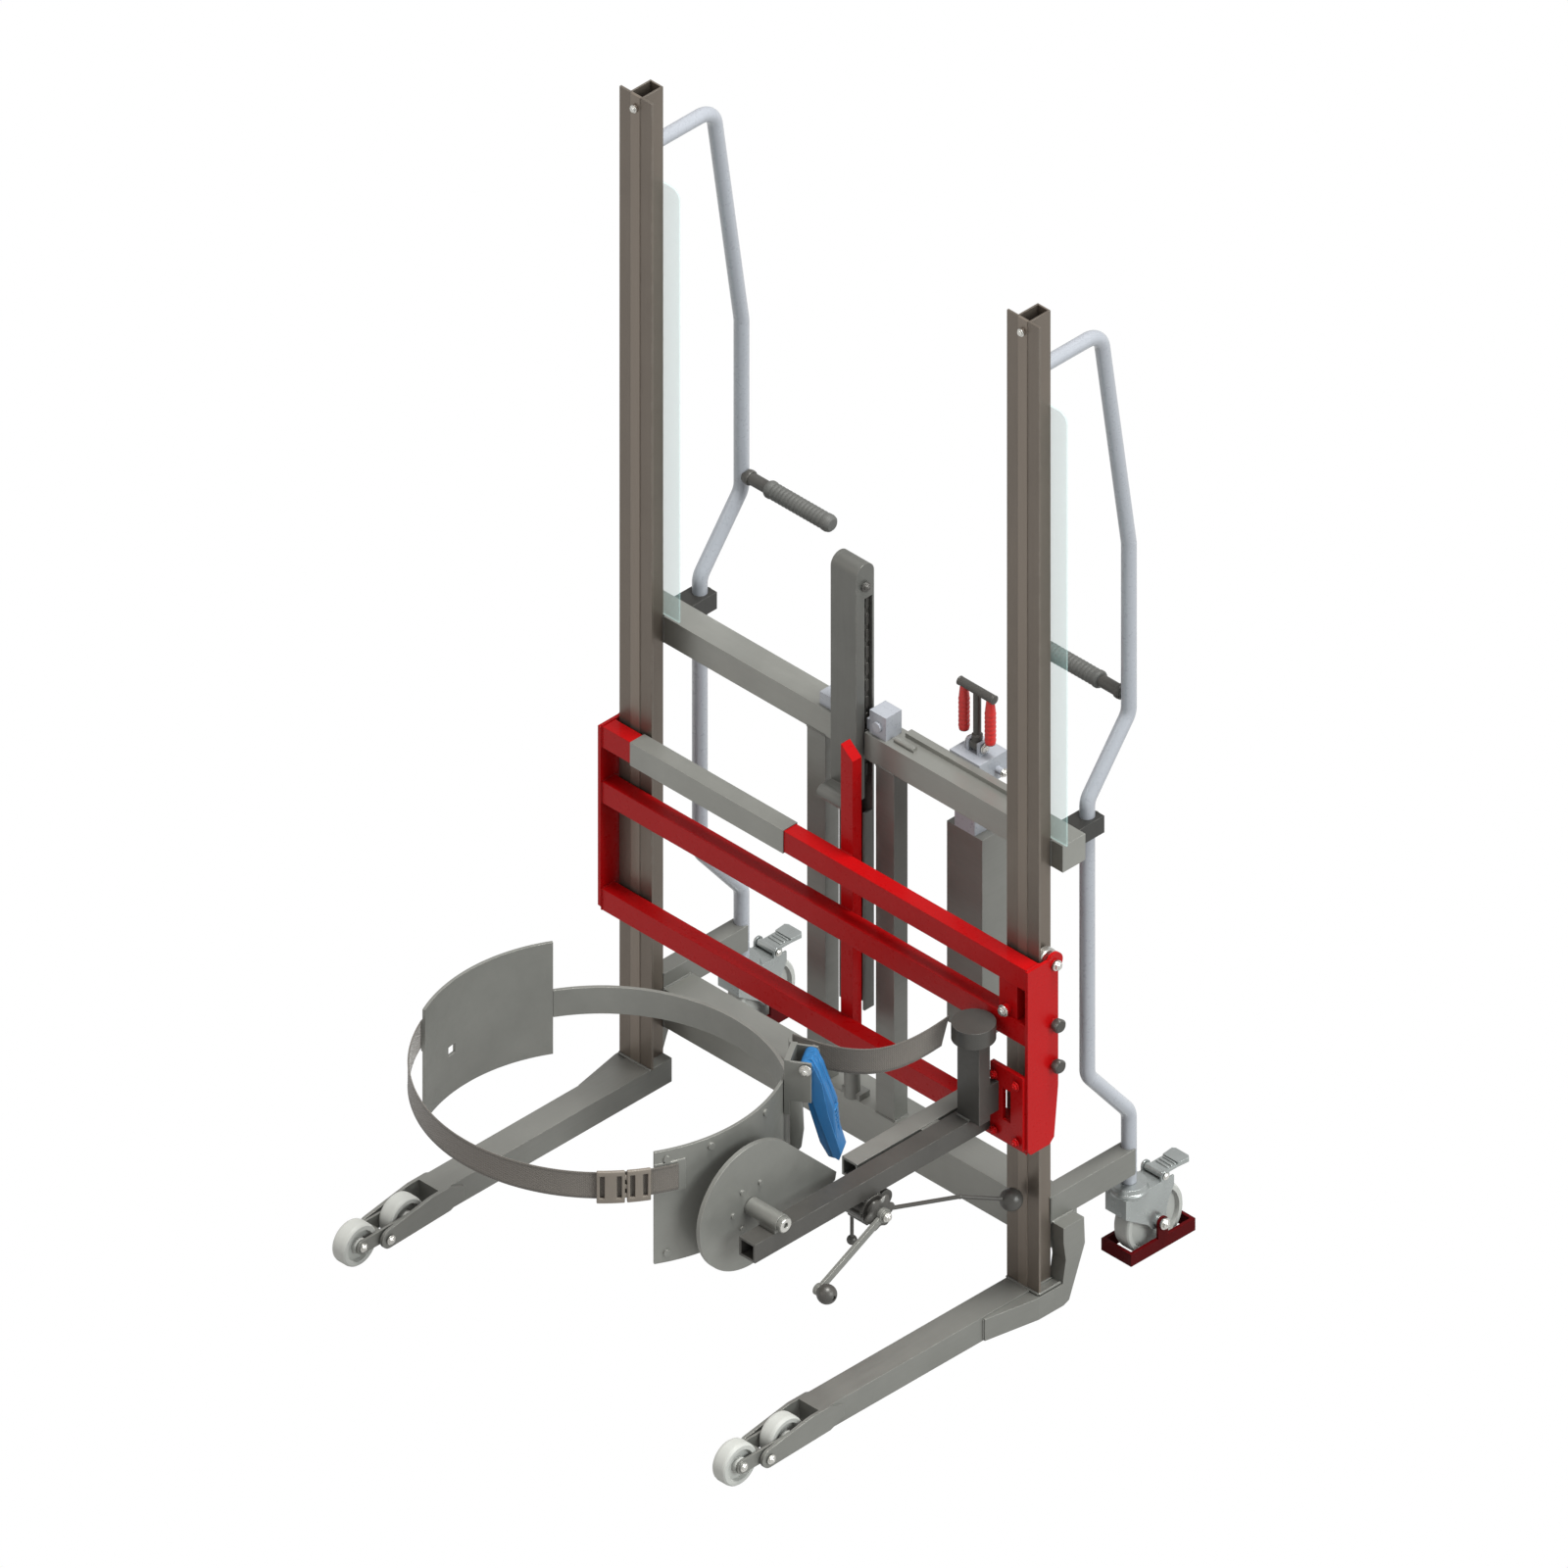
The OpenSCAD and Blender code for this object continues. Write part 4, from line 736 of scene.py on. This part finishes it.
class MakeBuckle(TipperOperator, Operator):
    """Moulded side release buckle on the strap: two curved frames, bars and prongs"""
    bl_idname = "tipper.buckle"
    bl_label = "Strap buckle"

    def execute(self, context):
        low, high = (corner.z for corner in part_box("strap_buckle"))
        rows = [low, low + BUCKLE_RIM, high - BUCKLE_RIM, high]
        bm = bmesh.new()
        for arc in BUCKLE_ARCS:
            a, b = (math.radians(turn) * BUCKLE_R for turn in arc)
            cols = [a, a + BUCKLE_END, a + BUCKLE_BAR, (a + b) / 2, b - BUCKLE_BAR, b - BUCKLE_END, b]
            add(bm, bent(frame_plate(cols, rows, BUCKLE_WINDOWS, *BUCKLE_PLATE), BUCKLE_R))
        # The three prongs that click into the socket
        a, b = (math.radians(turn) * BUCKLE_R for turn in PRONG_ARC)
        for up in PRONG_HEIGHTS:
            z = low + (high - low) * up
            rows = [z - PRONG_HALF, z, z + PRONG_HALF]
            prong = frame_plate([a, (a + b) / 2, b], rows, set(), *PRONG_PLATE)
            add(bm, bent(prong, BUCKLE_R))
        buckle = piece("strap_buckle_frames", bm, "cradle", "buckle", 40)
        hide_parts("strap_buckle")
        return {"FINISHED"}


# Grips and handles

GRIP_LENGTH, GRIP_R = 143.0, 15.0
# From the inner face of a handle tube to the head of the grip, across the bare stub
STUB_REACH, STUB_GAP = 47, 0.0002
STUB = [(0, 0), (10.5, 0), (10.5, 50), (0, 50)]
COLLAR = [(11, 36), (12.6, 37), (13, 41), (12.2, 46), (11, 47.4)]


def grip_profile(ribs):
    """Half section of a hand grip: plain head, a rib every pitch, and a domed end."""
    r, length = GRIP_R, GRIP_LENGTH
    profile = [(0, 0), (r - 5, 0), (r - 1.5, 1.2), (r, 4), (r, 9)]
    pitch = (length - 34) / ribs
    for i in range(ribs):
        z = 14 + i * pitch
        profile += [(r - 1.6, z), (r - 0.9, z + pitch * 0.25), (r - 0.6, z + pitch * 0.5),
                    (r - 0.9, z + pitch * 0.75)]
    return profile + [(r - 1.6, length - 19), (r - 0.4, length - 16), (r - 0.1, length - 9),
                      (r - 1.6, length - 4), (r - 5, length - 1), (0, length)]


class MakeHandGrips(TipperOperator, Operator):
    """Ribbed rubber grips with a collar and a domed end, on bare stubs"""
    bl_idname = "tipper.hand_grips"
    bl_label = "Hand grips"

    def execute(self, context):
        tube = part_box("handle_tube_right")[0].x
        low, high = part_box("hand_grips")
        mid_y, mid_z = (low.y + high.y) / 2, (low.z + high.z) / 2
        for side, sign in SIDES:
            start = Vector((sign * (tube - STUB_REACH * MM), mid_y, mid_z))
            ribbed = joined([(turned(grip_profile(sizes().grip_ribs), 40), aimed(start, X * -sign))])
            grip = piece("hand_grip_" + side, ribbed, "chassis", "rubber")
            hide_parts("hand_grips")
            stub = joined([(turned(STUB, 32), aimed(start + X * sign * STUB_GAP, X * sign)),
                           (turned(COLLAR, 32), aimed(start, X * sign))])
            piece("grip_stub_" + side, stub, "chassis", "dark")
        return {"FINISHED"}


def finger_profile():
    """Half section of a finger grip: seven ribs, then a waist that narrows to the crossbar."""
    profile = [(0, -1.2), (6.5, -1), (8.6, 2)]
    for i in range(7):
        z = 4 + i * 8.4
        profile += [(8.4, z), (9.2, z + 2.4), (9.2, z + 5.2), (8.4, z + 7.4)]
    return profile + [(8.5, 64), (6.4, 84), (5.8, 86), (0, 86)]


# The foot of the finger grips, the crossbar's height, and how far both reach from the rod
FINGER_FOOT, PUMP_BAR_Z = 940, 1028
FINGER_REACH, CAP_REACH = 29, 35.5
ROD_COLLAR = [(6.7, 935), (9, 936), (9, 944), (6.7, 946)]
BAR_CAP = [(0, 0), (7.2, 0), (7.9, 1.5), (7.9, 3), (0, 5.5)]


class MakePumpGrips(TipperOperator, Operator):
    """Red finger grips that hang from the pump's crossbar, and the rod's collar"""
    bl_idname = "tipper.pump_grips"
    bl_label = "Pump grips"

    def execute(self, context):
        grips = [(turned(finger_profile(), 24),
                  Matrix.Translation(at(PUMP_X + m * FINGER_REACH, PUMP_Y, FINGER_FOOT))) for m in BOTH]
        piece("pump_finger_grips", joined(grips), "pump_lever", "pump_red")
        caps = [(turned(ROD_COLLAR, 24), Matrix.Translation(at(PUMP_X, PUMP_Y, 0)))]
        caps += [(turned(BAR_CAP, 24), aimed(at(PUMP_X + m * CAP_REACH, PUMP_Y, PUMP_BAR_Z), X * m))
                 for m in BOTH]
        piece("pump_bar_caps", joined(caps), "pump_lever", "dark")
        return {"FINISHED"}


# Side view of the blue lever's shell about its pin, and of the frame's near ear
LEVER_SHELL = [(-9, 9), (8, 17), (20, -6), (29, -34), (42, -72), (47, -128), (52, -162), (45, -170),
               (34, -168), (20, -142), (3, -82), (-5, -36)]
EAR_TAIL = [(308, 523), (328, 523), (330, 470), (326, 436), (319, 426), (308, 426)]
# The shell's layers across: from, to, rounding, and how far the rim is set in
SHELL_LAYERS = ((-16, -5, 2.4, 0), (-5.5, 5.5, 1.2, 2.5), (5, 16, 2.4, 0))
# Its finger ribs: heights, from and to, half length and half width
LEVER_RIBS = range(-82, -136, -9)
RIB_IN, RIB_OUT, RIB_REACH, RIB_THICK = 39, 44.6, 11, 1.8
# The ratchet's way out from the cradle's axis, and where its pin stands on it
RATCHET_TURN = math.radians(32)
PIN_REACH, PIN_Z, PIN_HALF = 333, 585, 28


class MakeRatchetDetail(TipperOperator, Operator):
    """Broad shell with finger ribs on the blue lever, its bolt, and the frame's ear below it"""
    bl_idname = "tipper.ratchet"
    bl_label = "Ratchet lever"

    def execute(self, context):
        turn = Matrix.Translation(CRADLE_AXIS) @ Matrix.Rotation(RATCHET_TURN, 4, "Z")
        pin = turn @ Matrix.Translation(Vector((PIN_REACH * MM, 0, PIN_Z * MM)))
        shell = []
        for low, high, bevel, inset in SHELL_LAYERS:
            rim = [(x - inset if x > 10 else x + inset, z) for x, z in LEVER_SHELL]
            shell.append((slab(rim, low, high, bevel), pin))
        for z in LEVER_RIBS:
            rib = block((RIB_IN, -RIB_REACH, z - RIB_THICK), (RIB_OUT, RIB_REACH, z + RIB_THICK), 1.2)
            shell.append((rib, pin))
        piece("ratchet_lever_shell", joined(shell), "ratchet_lever", "blue")
        tail = joined([(slab(EAR_TAIL, -26, -22, 0.8), turn)])
        piece("ratchet_ear_tail", tail, "cradle", "plate")
        bolts = [(hex_head(13, 6, 4), pin @ aimed(Y * m * PIN_HALF * MM, Y * m)) for m in BOTH]
        piece("ratchet_lever_bolt", joined(bolts), "ratchet_lever", "bright")
        return {"FINISHED"}


# Fasteners

def bolt_rows():
    """Bolts as (body, place, direction, width across flats, height, stud radius), in millimetres."""
    rows = []
    for side, s in SIDES:
        mast, leg = s * MAST_X, s * LEG_X
        bogie, caster, brake = "bogie_body_" + side, "caster_" + side, "brake_" + side
        rows += [("chassis", (mast, -4.5, 1890), -Y, 9, 3, 0),
                 ("carriage", (s * 479, 24.3, 690), X * s, 12, 5, 3.2)]
        for m in BOTH:
            rows += [(bogie, (leg + m * 30, -578, 31.5), X * m, 11, 3, 3),
                     (bogie, (leg + m * 21.2, LOAD_FRONT_Y, LOAD_Z), X * m, 10, 2.4, 2),
                     (bogie, (leg + m * 19.5, LOAD_REAR_Y, LOAD_Z), X * m, 8, 0.8, 0),
                     (caster, (mast + m * 37.4, CASTER_Y, CASTER_Z), X * m, 13, 4, 3.4),
                     (brake, (mast + m * 24, 292, 139), X * m, 8, 2, 0)]
        rows += [("chassis", (mast, 160.7, z), Y, 8, 3, 2) for z in (867, 886)]
        rows += [("chassis", (mast, 50, z), Y, 8, 3, 0) for z in (960, 1330, 1690)]
    rows += [("carriage", (426, -41.5, 610), -Y, 13, 5, 4),
             ("column_body", (31, 51, 1177), X, 12, 4, 3.5),
             ("column_body", (-31, 51, 1177), -X, 12, 3, 3),
             ("carriage", (378.5, -448, 364), -Z, 9, 3, 3),
             ("carriage", (378.5, -481.6, 364), -Z, 9, 3, 3),
             ("crank", (427, CRANK_Y, CRANK_Z), X, 11, 4, 3),
             ("chassis", (248, 137, 887), X, 10, 4, 3)]
    rows += [("pump_lever", (PUMP_X + m * 17, PUMP_Y, 925), X * m, 12, 3, 3) for m in (1, -1)]
    return rows


# Painted heads that hold the arm's corner plate to the carriage
CORNER_HEADS = [(x, -45.5, z) for x in (408, 456) for z in (374, 482)]


class MakeBolts(TipperOperator, Operator):
    """Bolt heads, washers and stud ends on every moving group"""
    bl_idname = "tipper.bolts"
    bl_label = "Bolts"

    def execute(self, context):
        groups = {}
        for body, place, way, across, height, stud in bolt_rows():
            bm = groups.setdefault(body, bmesh.new())
            add(bm, hex_head(across, height, stud), aimed(at(*place), way, BOLT_TURN))
        for body, bm in groups.items():
            key, slot = ("dark", "black_paint") if body == "column_body" else ("bright", "ground_steel")
            piece("bolts_" + body, bm, body, key)
        heads = [(hex_head(11, 4, 3), aimed(at(*place), -Y, BOLT_TURN)) for place in CORNER_HEADS]
        piece("corner_plate_heads", joined(heads), "carriage", "red")
        return {"FINISHED"}


PLATE_X, KNOB_Y = 475, 23
KNOB_LOBES, KNOB_DENT = 5, 0.13
KNOB_RIM = [(0, 2), (9.6, 2), (11.5, 4), (12.5, 7), (12.5, 11), (11, 14), (7, 14.9), (0, 14.9)]


class MakeKnobs(TipperOperator, Operator):
    """Lobed clamping knobs on the carriage side plates"""
    bl_idname = "tipper.knobs"
    bl_label = "Plate knobs"

    def execute(self, context):
        knobs = [(lobed(KNOB_RIM, KNOB_LOBES, KNOB_DENT), aimed(at(s * PLATE_X, KNOB_Y, z), X * s))
                 for _, s in SIDES for z in KNOB_HEIGHTS]
        piece("side_plate_knobs", joined(knobs), "carriage", "dark")
        return {"FINISHED"}


STAR_RIM = [(11.8, 10.6), (27, 10.6), (31, 12.4), (32, 14.6), (31, 16.8), (27, 18.7), (11.8, 18.7)]
STAR_LOBES, STAR_DENT, STAR_HUB = 6, 0.24, 20
# How far the pivot housing stands out of the arm
HOUSING_OUT = 3
SHAFT_RING = [(4.8, -0.6), (12, -0.6), (12, 1.1), (11, 1.8), (6, 1.8), (4.8, 1.2)]


class MakeGearDetail(TipperOperator, Operator):
    """Star wheel behind the crank and the bright ring on the end of the pivot shaft"""
    bl_idname = "tipper.gear"
    bl_label = "Gear detail"

    def execute(self, context):
        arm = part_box("pivot_housing")[1].x / MM - HOUSING_OUT
        wheel = lobed(STAR_RIM, STAR_LOBES, STAR_DENT, STAR_HUB)
        star = joined([(wheel, aimed(at(arm, CRANK_Y, CRANK_Z), X))])
        piece("crank_star_wheel", star, "crank", "dark")
        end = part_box("pivot_disc")[1].x / MM
        ring = joined([(turned(SHAFT_RING, 40), aimed(at(end, CRADLE_Y, PIVOT_Z), X))])
        piece("pivot_shaft_ring", ring, "cradle", "bright")
        return {"FINISHED"}


# Welds

# From point to point in millimetres, the frame's on the right side only
FRAME_BEADS = (
    ((413, 47, 188), (413, 109, 188)), ((413, 47, 116), (413, 47, 188)),
    ((442, 47.5, 901), (414, 47.5, 901)), ((442, 47.5, 851), (442, 47.5, 901)),
    ((414, 47.5, 851), (414, 47.5, 901)), ((56, 47.5, 851), (96, 47.5, 851)),
    ((56, 47.5, 188), (96, 47.5, 188)), ((96, 47.5, 188), (96, 77, 188)),
    ((414, 0, 65), (442, 0, 65)), ((463.5, -1, 65), (463.5, 47, 65)),
    ((392.5, -1, 65), (463.5, -1, 65)), ((445, -105, 22), (445, -105, 61)),
    ((443, 50, 168), (443, 95, 168)), ((443, 47, 168), (443, 47, 216)),
    ((413, 47, 216), (443, 47, 216)),
)
ARM_BEADS = (
    ((361, -33.5, 371), (361, -33.5, 404)), ((361, -33.5, 405), (396, -33.5, 405)),
    ((368, -85, 405), (396, -85, 405)), ((368, -85, 405), (368, -61, 405)),
)
BAR_TOPS = [z + BAR_HEIGHT for z in BAR_FEET]
# Radius of a painted bead over that of a bare one
PAINTED_SHARE = 0.8


def weld_rows():
    """Every bead as (body, finish, start, end)."""
    rows = []
    for _, s in SIDES:
        rows += [("chassis", "seam", (s * a[0], *a[1:]), (s * b[0], *b[1:])) for a, b in FRAME_BEADS]
        for foot, top in zip(BAR_FEET, BAR_TOPS):
            corner = (s * 469, -33.5, top)
            rows += [("carriage", "red_seam", (s * 469, -33.5, foot), corner),
                     ("carriage", "red_seam", corner, (s * 469, -5.5, top))]
    rows += [("carriage", "red_seam", (31, -5.5, top), (57, -5.5, top)) for top in BAR_TOPS]
    rows += [("carriage", "seam", a, b) for a, b in ARM_BEADS]
    return rows


class MakeWelds(TipperOperator, Operator):
    """Weld beads where tubes and plates meet"""
    bl_idname = "tipper.welds"
    bl_label = "Welds"

    def execute(self, context):
        groups = {}
        radius = sizes().bead / MM
        for body, key, start, end in weld_rows():
            bm = groups.setdefault((body, key), bmesh.new())
            weld(bm, start, end, radius if key == "seam" else radius * PAINTED_SHARE)
        for (body, key), bm in groups.items():
            piece("welds_" + body + "_" + key, bm, body, key)
        return {"FINISHED"}


# Wheels and casters

COVER_SINK = 0.7


class MakeWheelDetail(TipperOperator, Operator):
    """Bearing covers of all six wheels"""
    bl_idname = "tipper.wheels"
    bl_label = "Wheel detail"

    def execute(self, context):
        for side, s in SIDES:
            # Each wheel's body, middle, cover radius and half width
            for body, place, radius, half in (
                    ("caster_wheel_body_" + side, (s * MAST_X, CASTER_Y, CASTER_Z), 12.8, 19),
                    ("load_front_" + side, (s * LEG_X, LOAD_FRONT_Y, LOAD_Z), 9.6, 15),
                    ("load_rear_" + side, (s * LEG_X, LOAD_REAR_Y, LOAD_Z), 9.6, 15)):
                cover = [(radius * 0.62, 0), (radius, 0), (radius + 0.2, 0.5), (radius * 0.8, 0.6),
                         (radius * 0.62, 0.4)]
                covers = [(turned(cover, 40), aimed(at(*place) + X * m * (half - COVER_SINK) * MM, X * m))
                          for m in BOTH]
                piece("bearing_covers_" + body, joined(covers), body, "zinc")
        return {"FINISHED"}


SWIVEL_RACE = [(24, 0), (30.2, 0), (31.6, 2.4), (31.6, 6), (29.2, 8.8), (27, 9.4), (26, 13), (23, 15.5),
               (14, 17), (14, 0)]
SWIVEL_Y, SWIVEL_Z = 234, 130
# Ribs across a brake pedal: first place, pitch, half length, half width, foot and top
RIB_START, RIB_PITCH, RIB_HALF, RIB_WIDE, RIB_FOOT, RIB_TOP = 308, 7.6, 14, 1.5, 141.5, 144.2
PEDAL_RIBS = 6


class MakeCasterDetail(TipperOperator, Operator):
    """Swivel race and pedal ribs of the two casters"""
    bl_idname = "tipper.casters"
    bl_label = "Caster detail"

    def execute(self, context):
        for side, s in SIDES:
            middle = s * MAST_X
            race = joined([(turned(SWIVEL_RACE, 56), Matrix.Translation(at(middle, SWIVEL_Y, SWIVEL_Z)))])
            piece("swivel_race_" + side, race, "caster_" + side, "zinc")
            ribs = []
            for i in range(PEDAL_RIBS):
                y = RIB_START + i * RIB_PITCH
                rib = block((middle - RIB_HALF, y - RIB_WIDE, RIB_FOOT),
                            (middle + RIB_HALF, y + RIB_WIDE, RIB_TOP), 1.1)
                ribs.append((rib, Matrix.Translation((0, FACE_Y, 0))))
            piece("pedal_ribs_" + side, joined(ribs), "brake_" + side, "zinc")
        return {"FINISHED"}


# Stage

FLOOR_HALF, FLOOR_DROP = 14, 0.0004
WORLD_LIGHT = 0.5
# Name, direction it comes from, strength, spread in degrees, colour
LIGHTS = (
    ("top_light", (0.15, 0.05, 1.0), 4.1, 20, (1, 1, 0.98)),
    ("side_light", (1.0, 0.2, 0.45), 2.0, 30, (0.95, 1, 0.99)),
    ("front_light", (-0.3, -1.0, 0.5), 0.4, 40, (1, 0.93, 0.86)),
)
# What the camera looks at, how much it takes in, and how far off it stands, in metres
VIEW_MIDDLE, VIEW_WIDTH, VIEW_DISTANCE, VIEW_END = at(-50, -50, 810), 2.450, 5, 40


def studio_white():
    """Pure white to the camera, a greyer floor to the light that falls on the object."""
    mat, shader, node = blank("studio_white")
    cloud = node("TexNoise", Vector=node("TexCoord").outputs["Object"], Scale=1.5)
    tint = ramp(node, cloud.outputs["Fac"], [(0.3, grey(0.39)), (0.7, grey(0.41))])
    dial(shader, Base_Color=tint, Roughness=0.9, Specular_IOR_Level=0.1)
    glow = node("Emission", Color=(1, 1, 1, 1), Strength=1.0)
    seen = node("LightPath").outputs["Is Camera Ray"]
    both = node("MixShader", seen, shader.outputs["BSDF"], glow.outputs["Emission"])
    out = next(n for n in mat.node_tree.nodes if n.type == "OUTPUT_MATERIAL")
    dial(out, Surface=both.outputs["Shader"])
    return mat


def lay_floor(scene):
    bm = bmesh.new()
    bmesh.ops.create_grid(bm, x_segments=1, y_segments=1, size=FLOOR_HALF)
    bmesh.ops.translate(bm, vec=(0, 0, -FLOOR_DROP), verts=bm.verts)
    mesh = bpy.data.meshes.new("studio_floor")
    bm.to_mesh(mesh)
    bm.free()
    floor = bpy.data.objects.new("studio_floor", mesh)
    scene.collection.objects.link(floor)
    mesh.materials.append(studio_white())


def light_world(scene):
    """A world that is white to the camera and half as bright to the object."""
    world = bpy.data.worlds.new("studio_world")
    world.use_nodes = True
    node = maker(world.node_tree)
    seen = node("LightPath").outputs["Is Camera Ray"]
    power = node("Math", seen, 1 - WORLD_LIGHT, WORLD_LIGHT, operation="MULTIPLY_ADD")
    dial(world.node_tree.nodes["Background"], Color=(1, 1, 1, 1), Strength=power.outputs["Value"])
    scene.world = world


def hang_lights(scene):
    for name, way, power, spread, tint in LIGHTS:
        data = bpy.data.lights.new(name, "SUN")
        data.energy = power
        data.angle = math.radians(spread)
        data.color = tint
        light = bpy.data.objects.new(name, data)
        light.rotation_euler = Vector(way).to_track_quat("Z", "Y").to_euler()
        scene.collection.objects.link(light)


def aim_camera(scene):
    """The isometric view from the front right of the photograph."""
    view = bpy.data.cameras.new("photo_camera")
    view.type = "ORTHO"
    view.ortho_scale = VIEW_WIDTH
    view.clip_end = VIEW_END
    camera = bpy.data.objects.new("photo_camera", view)
    azimuth, height = math.radians(45), math.atan(1 / math.sqrt(2))
    back = Vector((math.sin(azimuth) * math.cos(height), -math.cos(azimuth) * math.cos(height),
                   math.sin(height)))
    camera.location = VIEW_MIDDLE + back * VIEW_DISTANCE
    camera.rotation_euler = (-back).to_track_quat("-Z", "Y").to_euler()
    scene.collection.objects.link(camera)
    scene.camera = camera


class MakeStage(TipperOperator, Operator):
    """White floor and world, soft lights and the camera at the photograph's angle"""
    bl_idname = "tipper.stage"
    bl_label = "Stage"

    def execute(self, context):
        scene = context.scene
        lay_floor(scene)
        light_world(scene)
        scene.view_settings.view_transform = "Standard"
        scene.view_settings.look = "None"
        hang_lights(scene)
        aim_camera(scene)
        return {"FINISHED"}


STEPS = (MakeFinishes, MakeFrontStrap, MakeStrapTail, MakeBuckle, MakeHandGrips, MakePumpGrips,
         MakeRatchetDetail, MakeBolts, MakeKnobs, MakeGearDetail, MakeWelds, MakeWheelDetail,
         MakeCasterDetail, MakeStage)


class TipperPanel(Panel):
    """Sizes, colours and steps of the drum tipper's looks"""
    bl_idname = "VIEW3D_PT_tipper"
    bl_label = "Drum tipper"
    bl_space_type = "VIEW_3D"
    bl_region_type = "UI"
    bl_category = "Tipper"

    def draw(self, context):
        layout = self.layout
        for group in (context.scene.tipper_sizes, context.scene.tipper_colours):
            area = layout.box()
            for name in group.__annotations__:
                area.prop(group, name)
        for step in STEPS:
            layout.operator(step.bl_idname)


CLASSES = (TipperColours, TipperSizes, *STEPS, TipperPanel)


def register():
    for cls in CLASSES:
        bpy.utils.register_class(cls)
    bpy.types.Scene.tipper_colours = PointerProperty(type=TipperColours)
    bpy.types.Scene.tipper_sizes = PointerProperty(type=TipperSizes)


def unregister():
    del bpy.types.Scene.tipper_sizes
    del bpy.types.Scene.tipper_colours
    for cls in reversed(CLASSES):
        bpy.utils.unregister_class(cls)


def main():
    register()
    for step in STEPS:
        group, name = step.bl_idname.split(".")
        getattr(getattr(bpy.ops, group), name)()


if __name__ == "__main__":
    main()
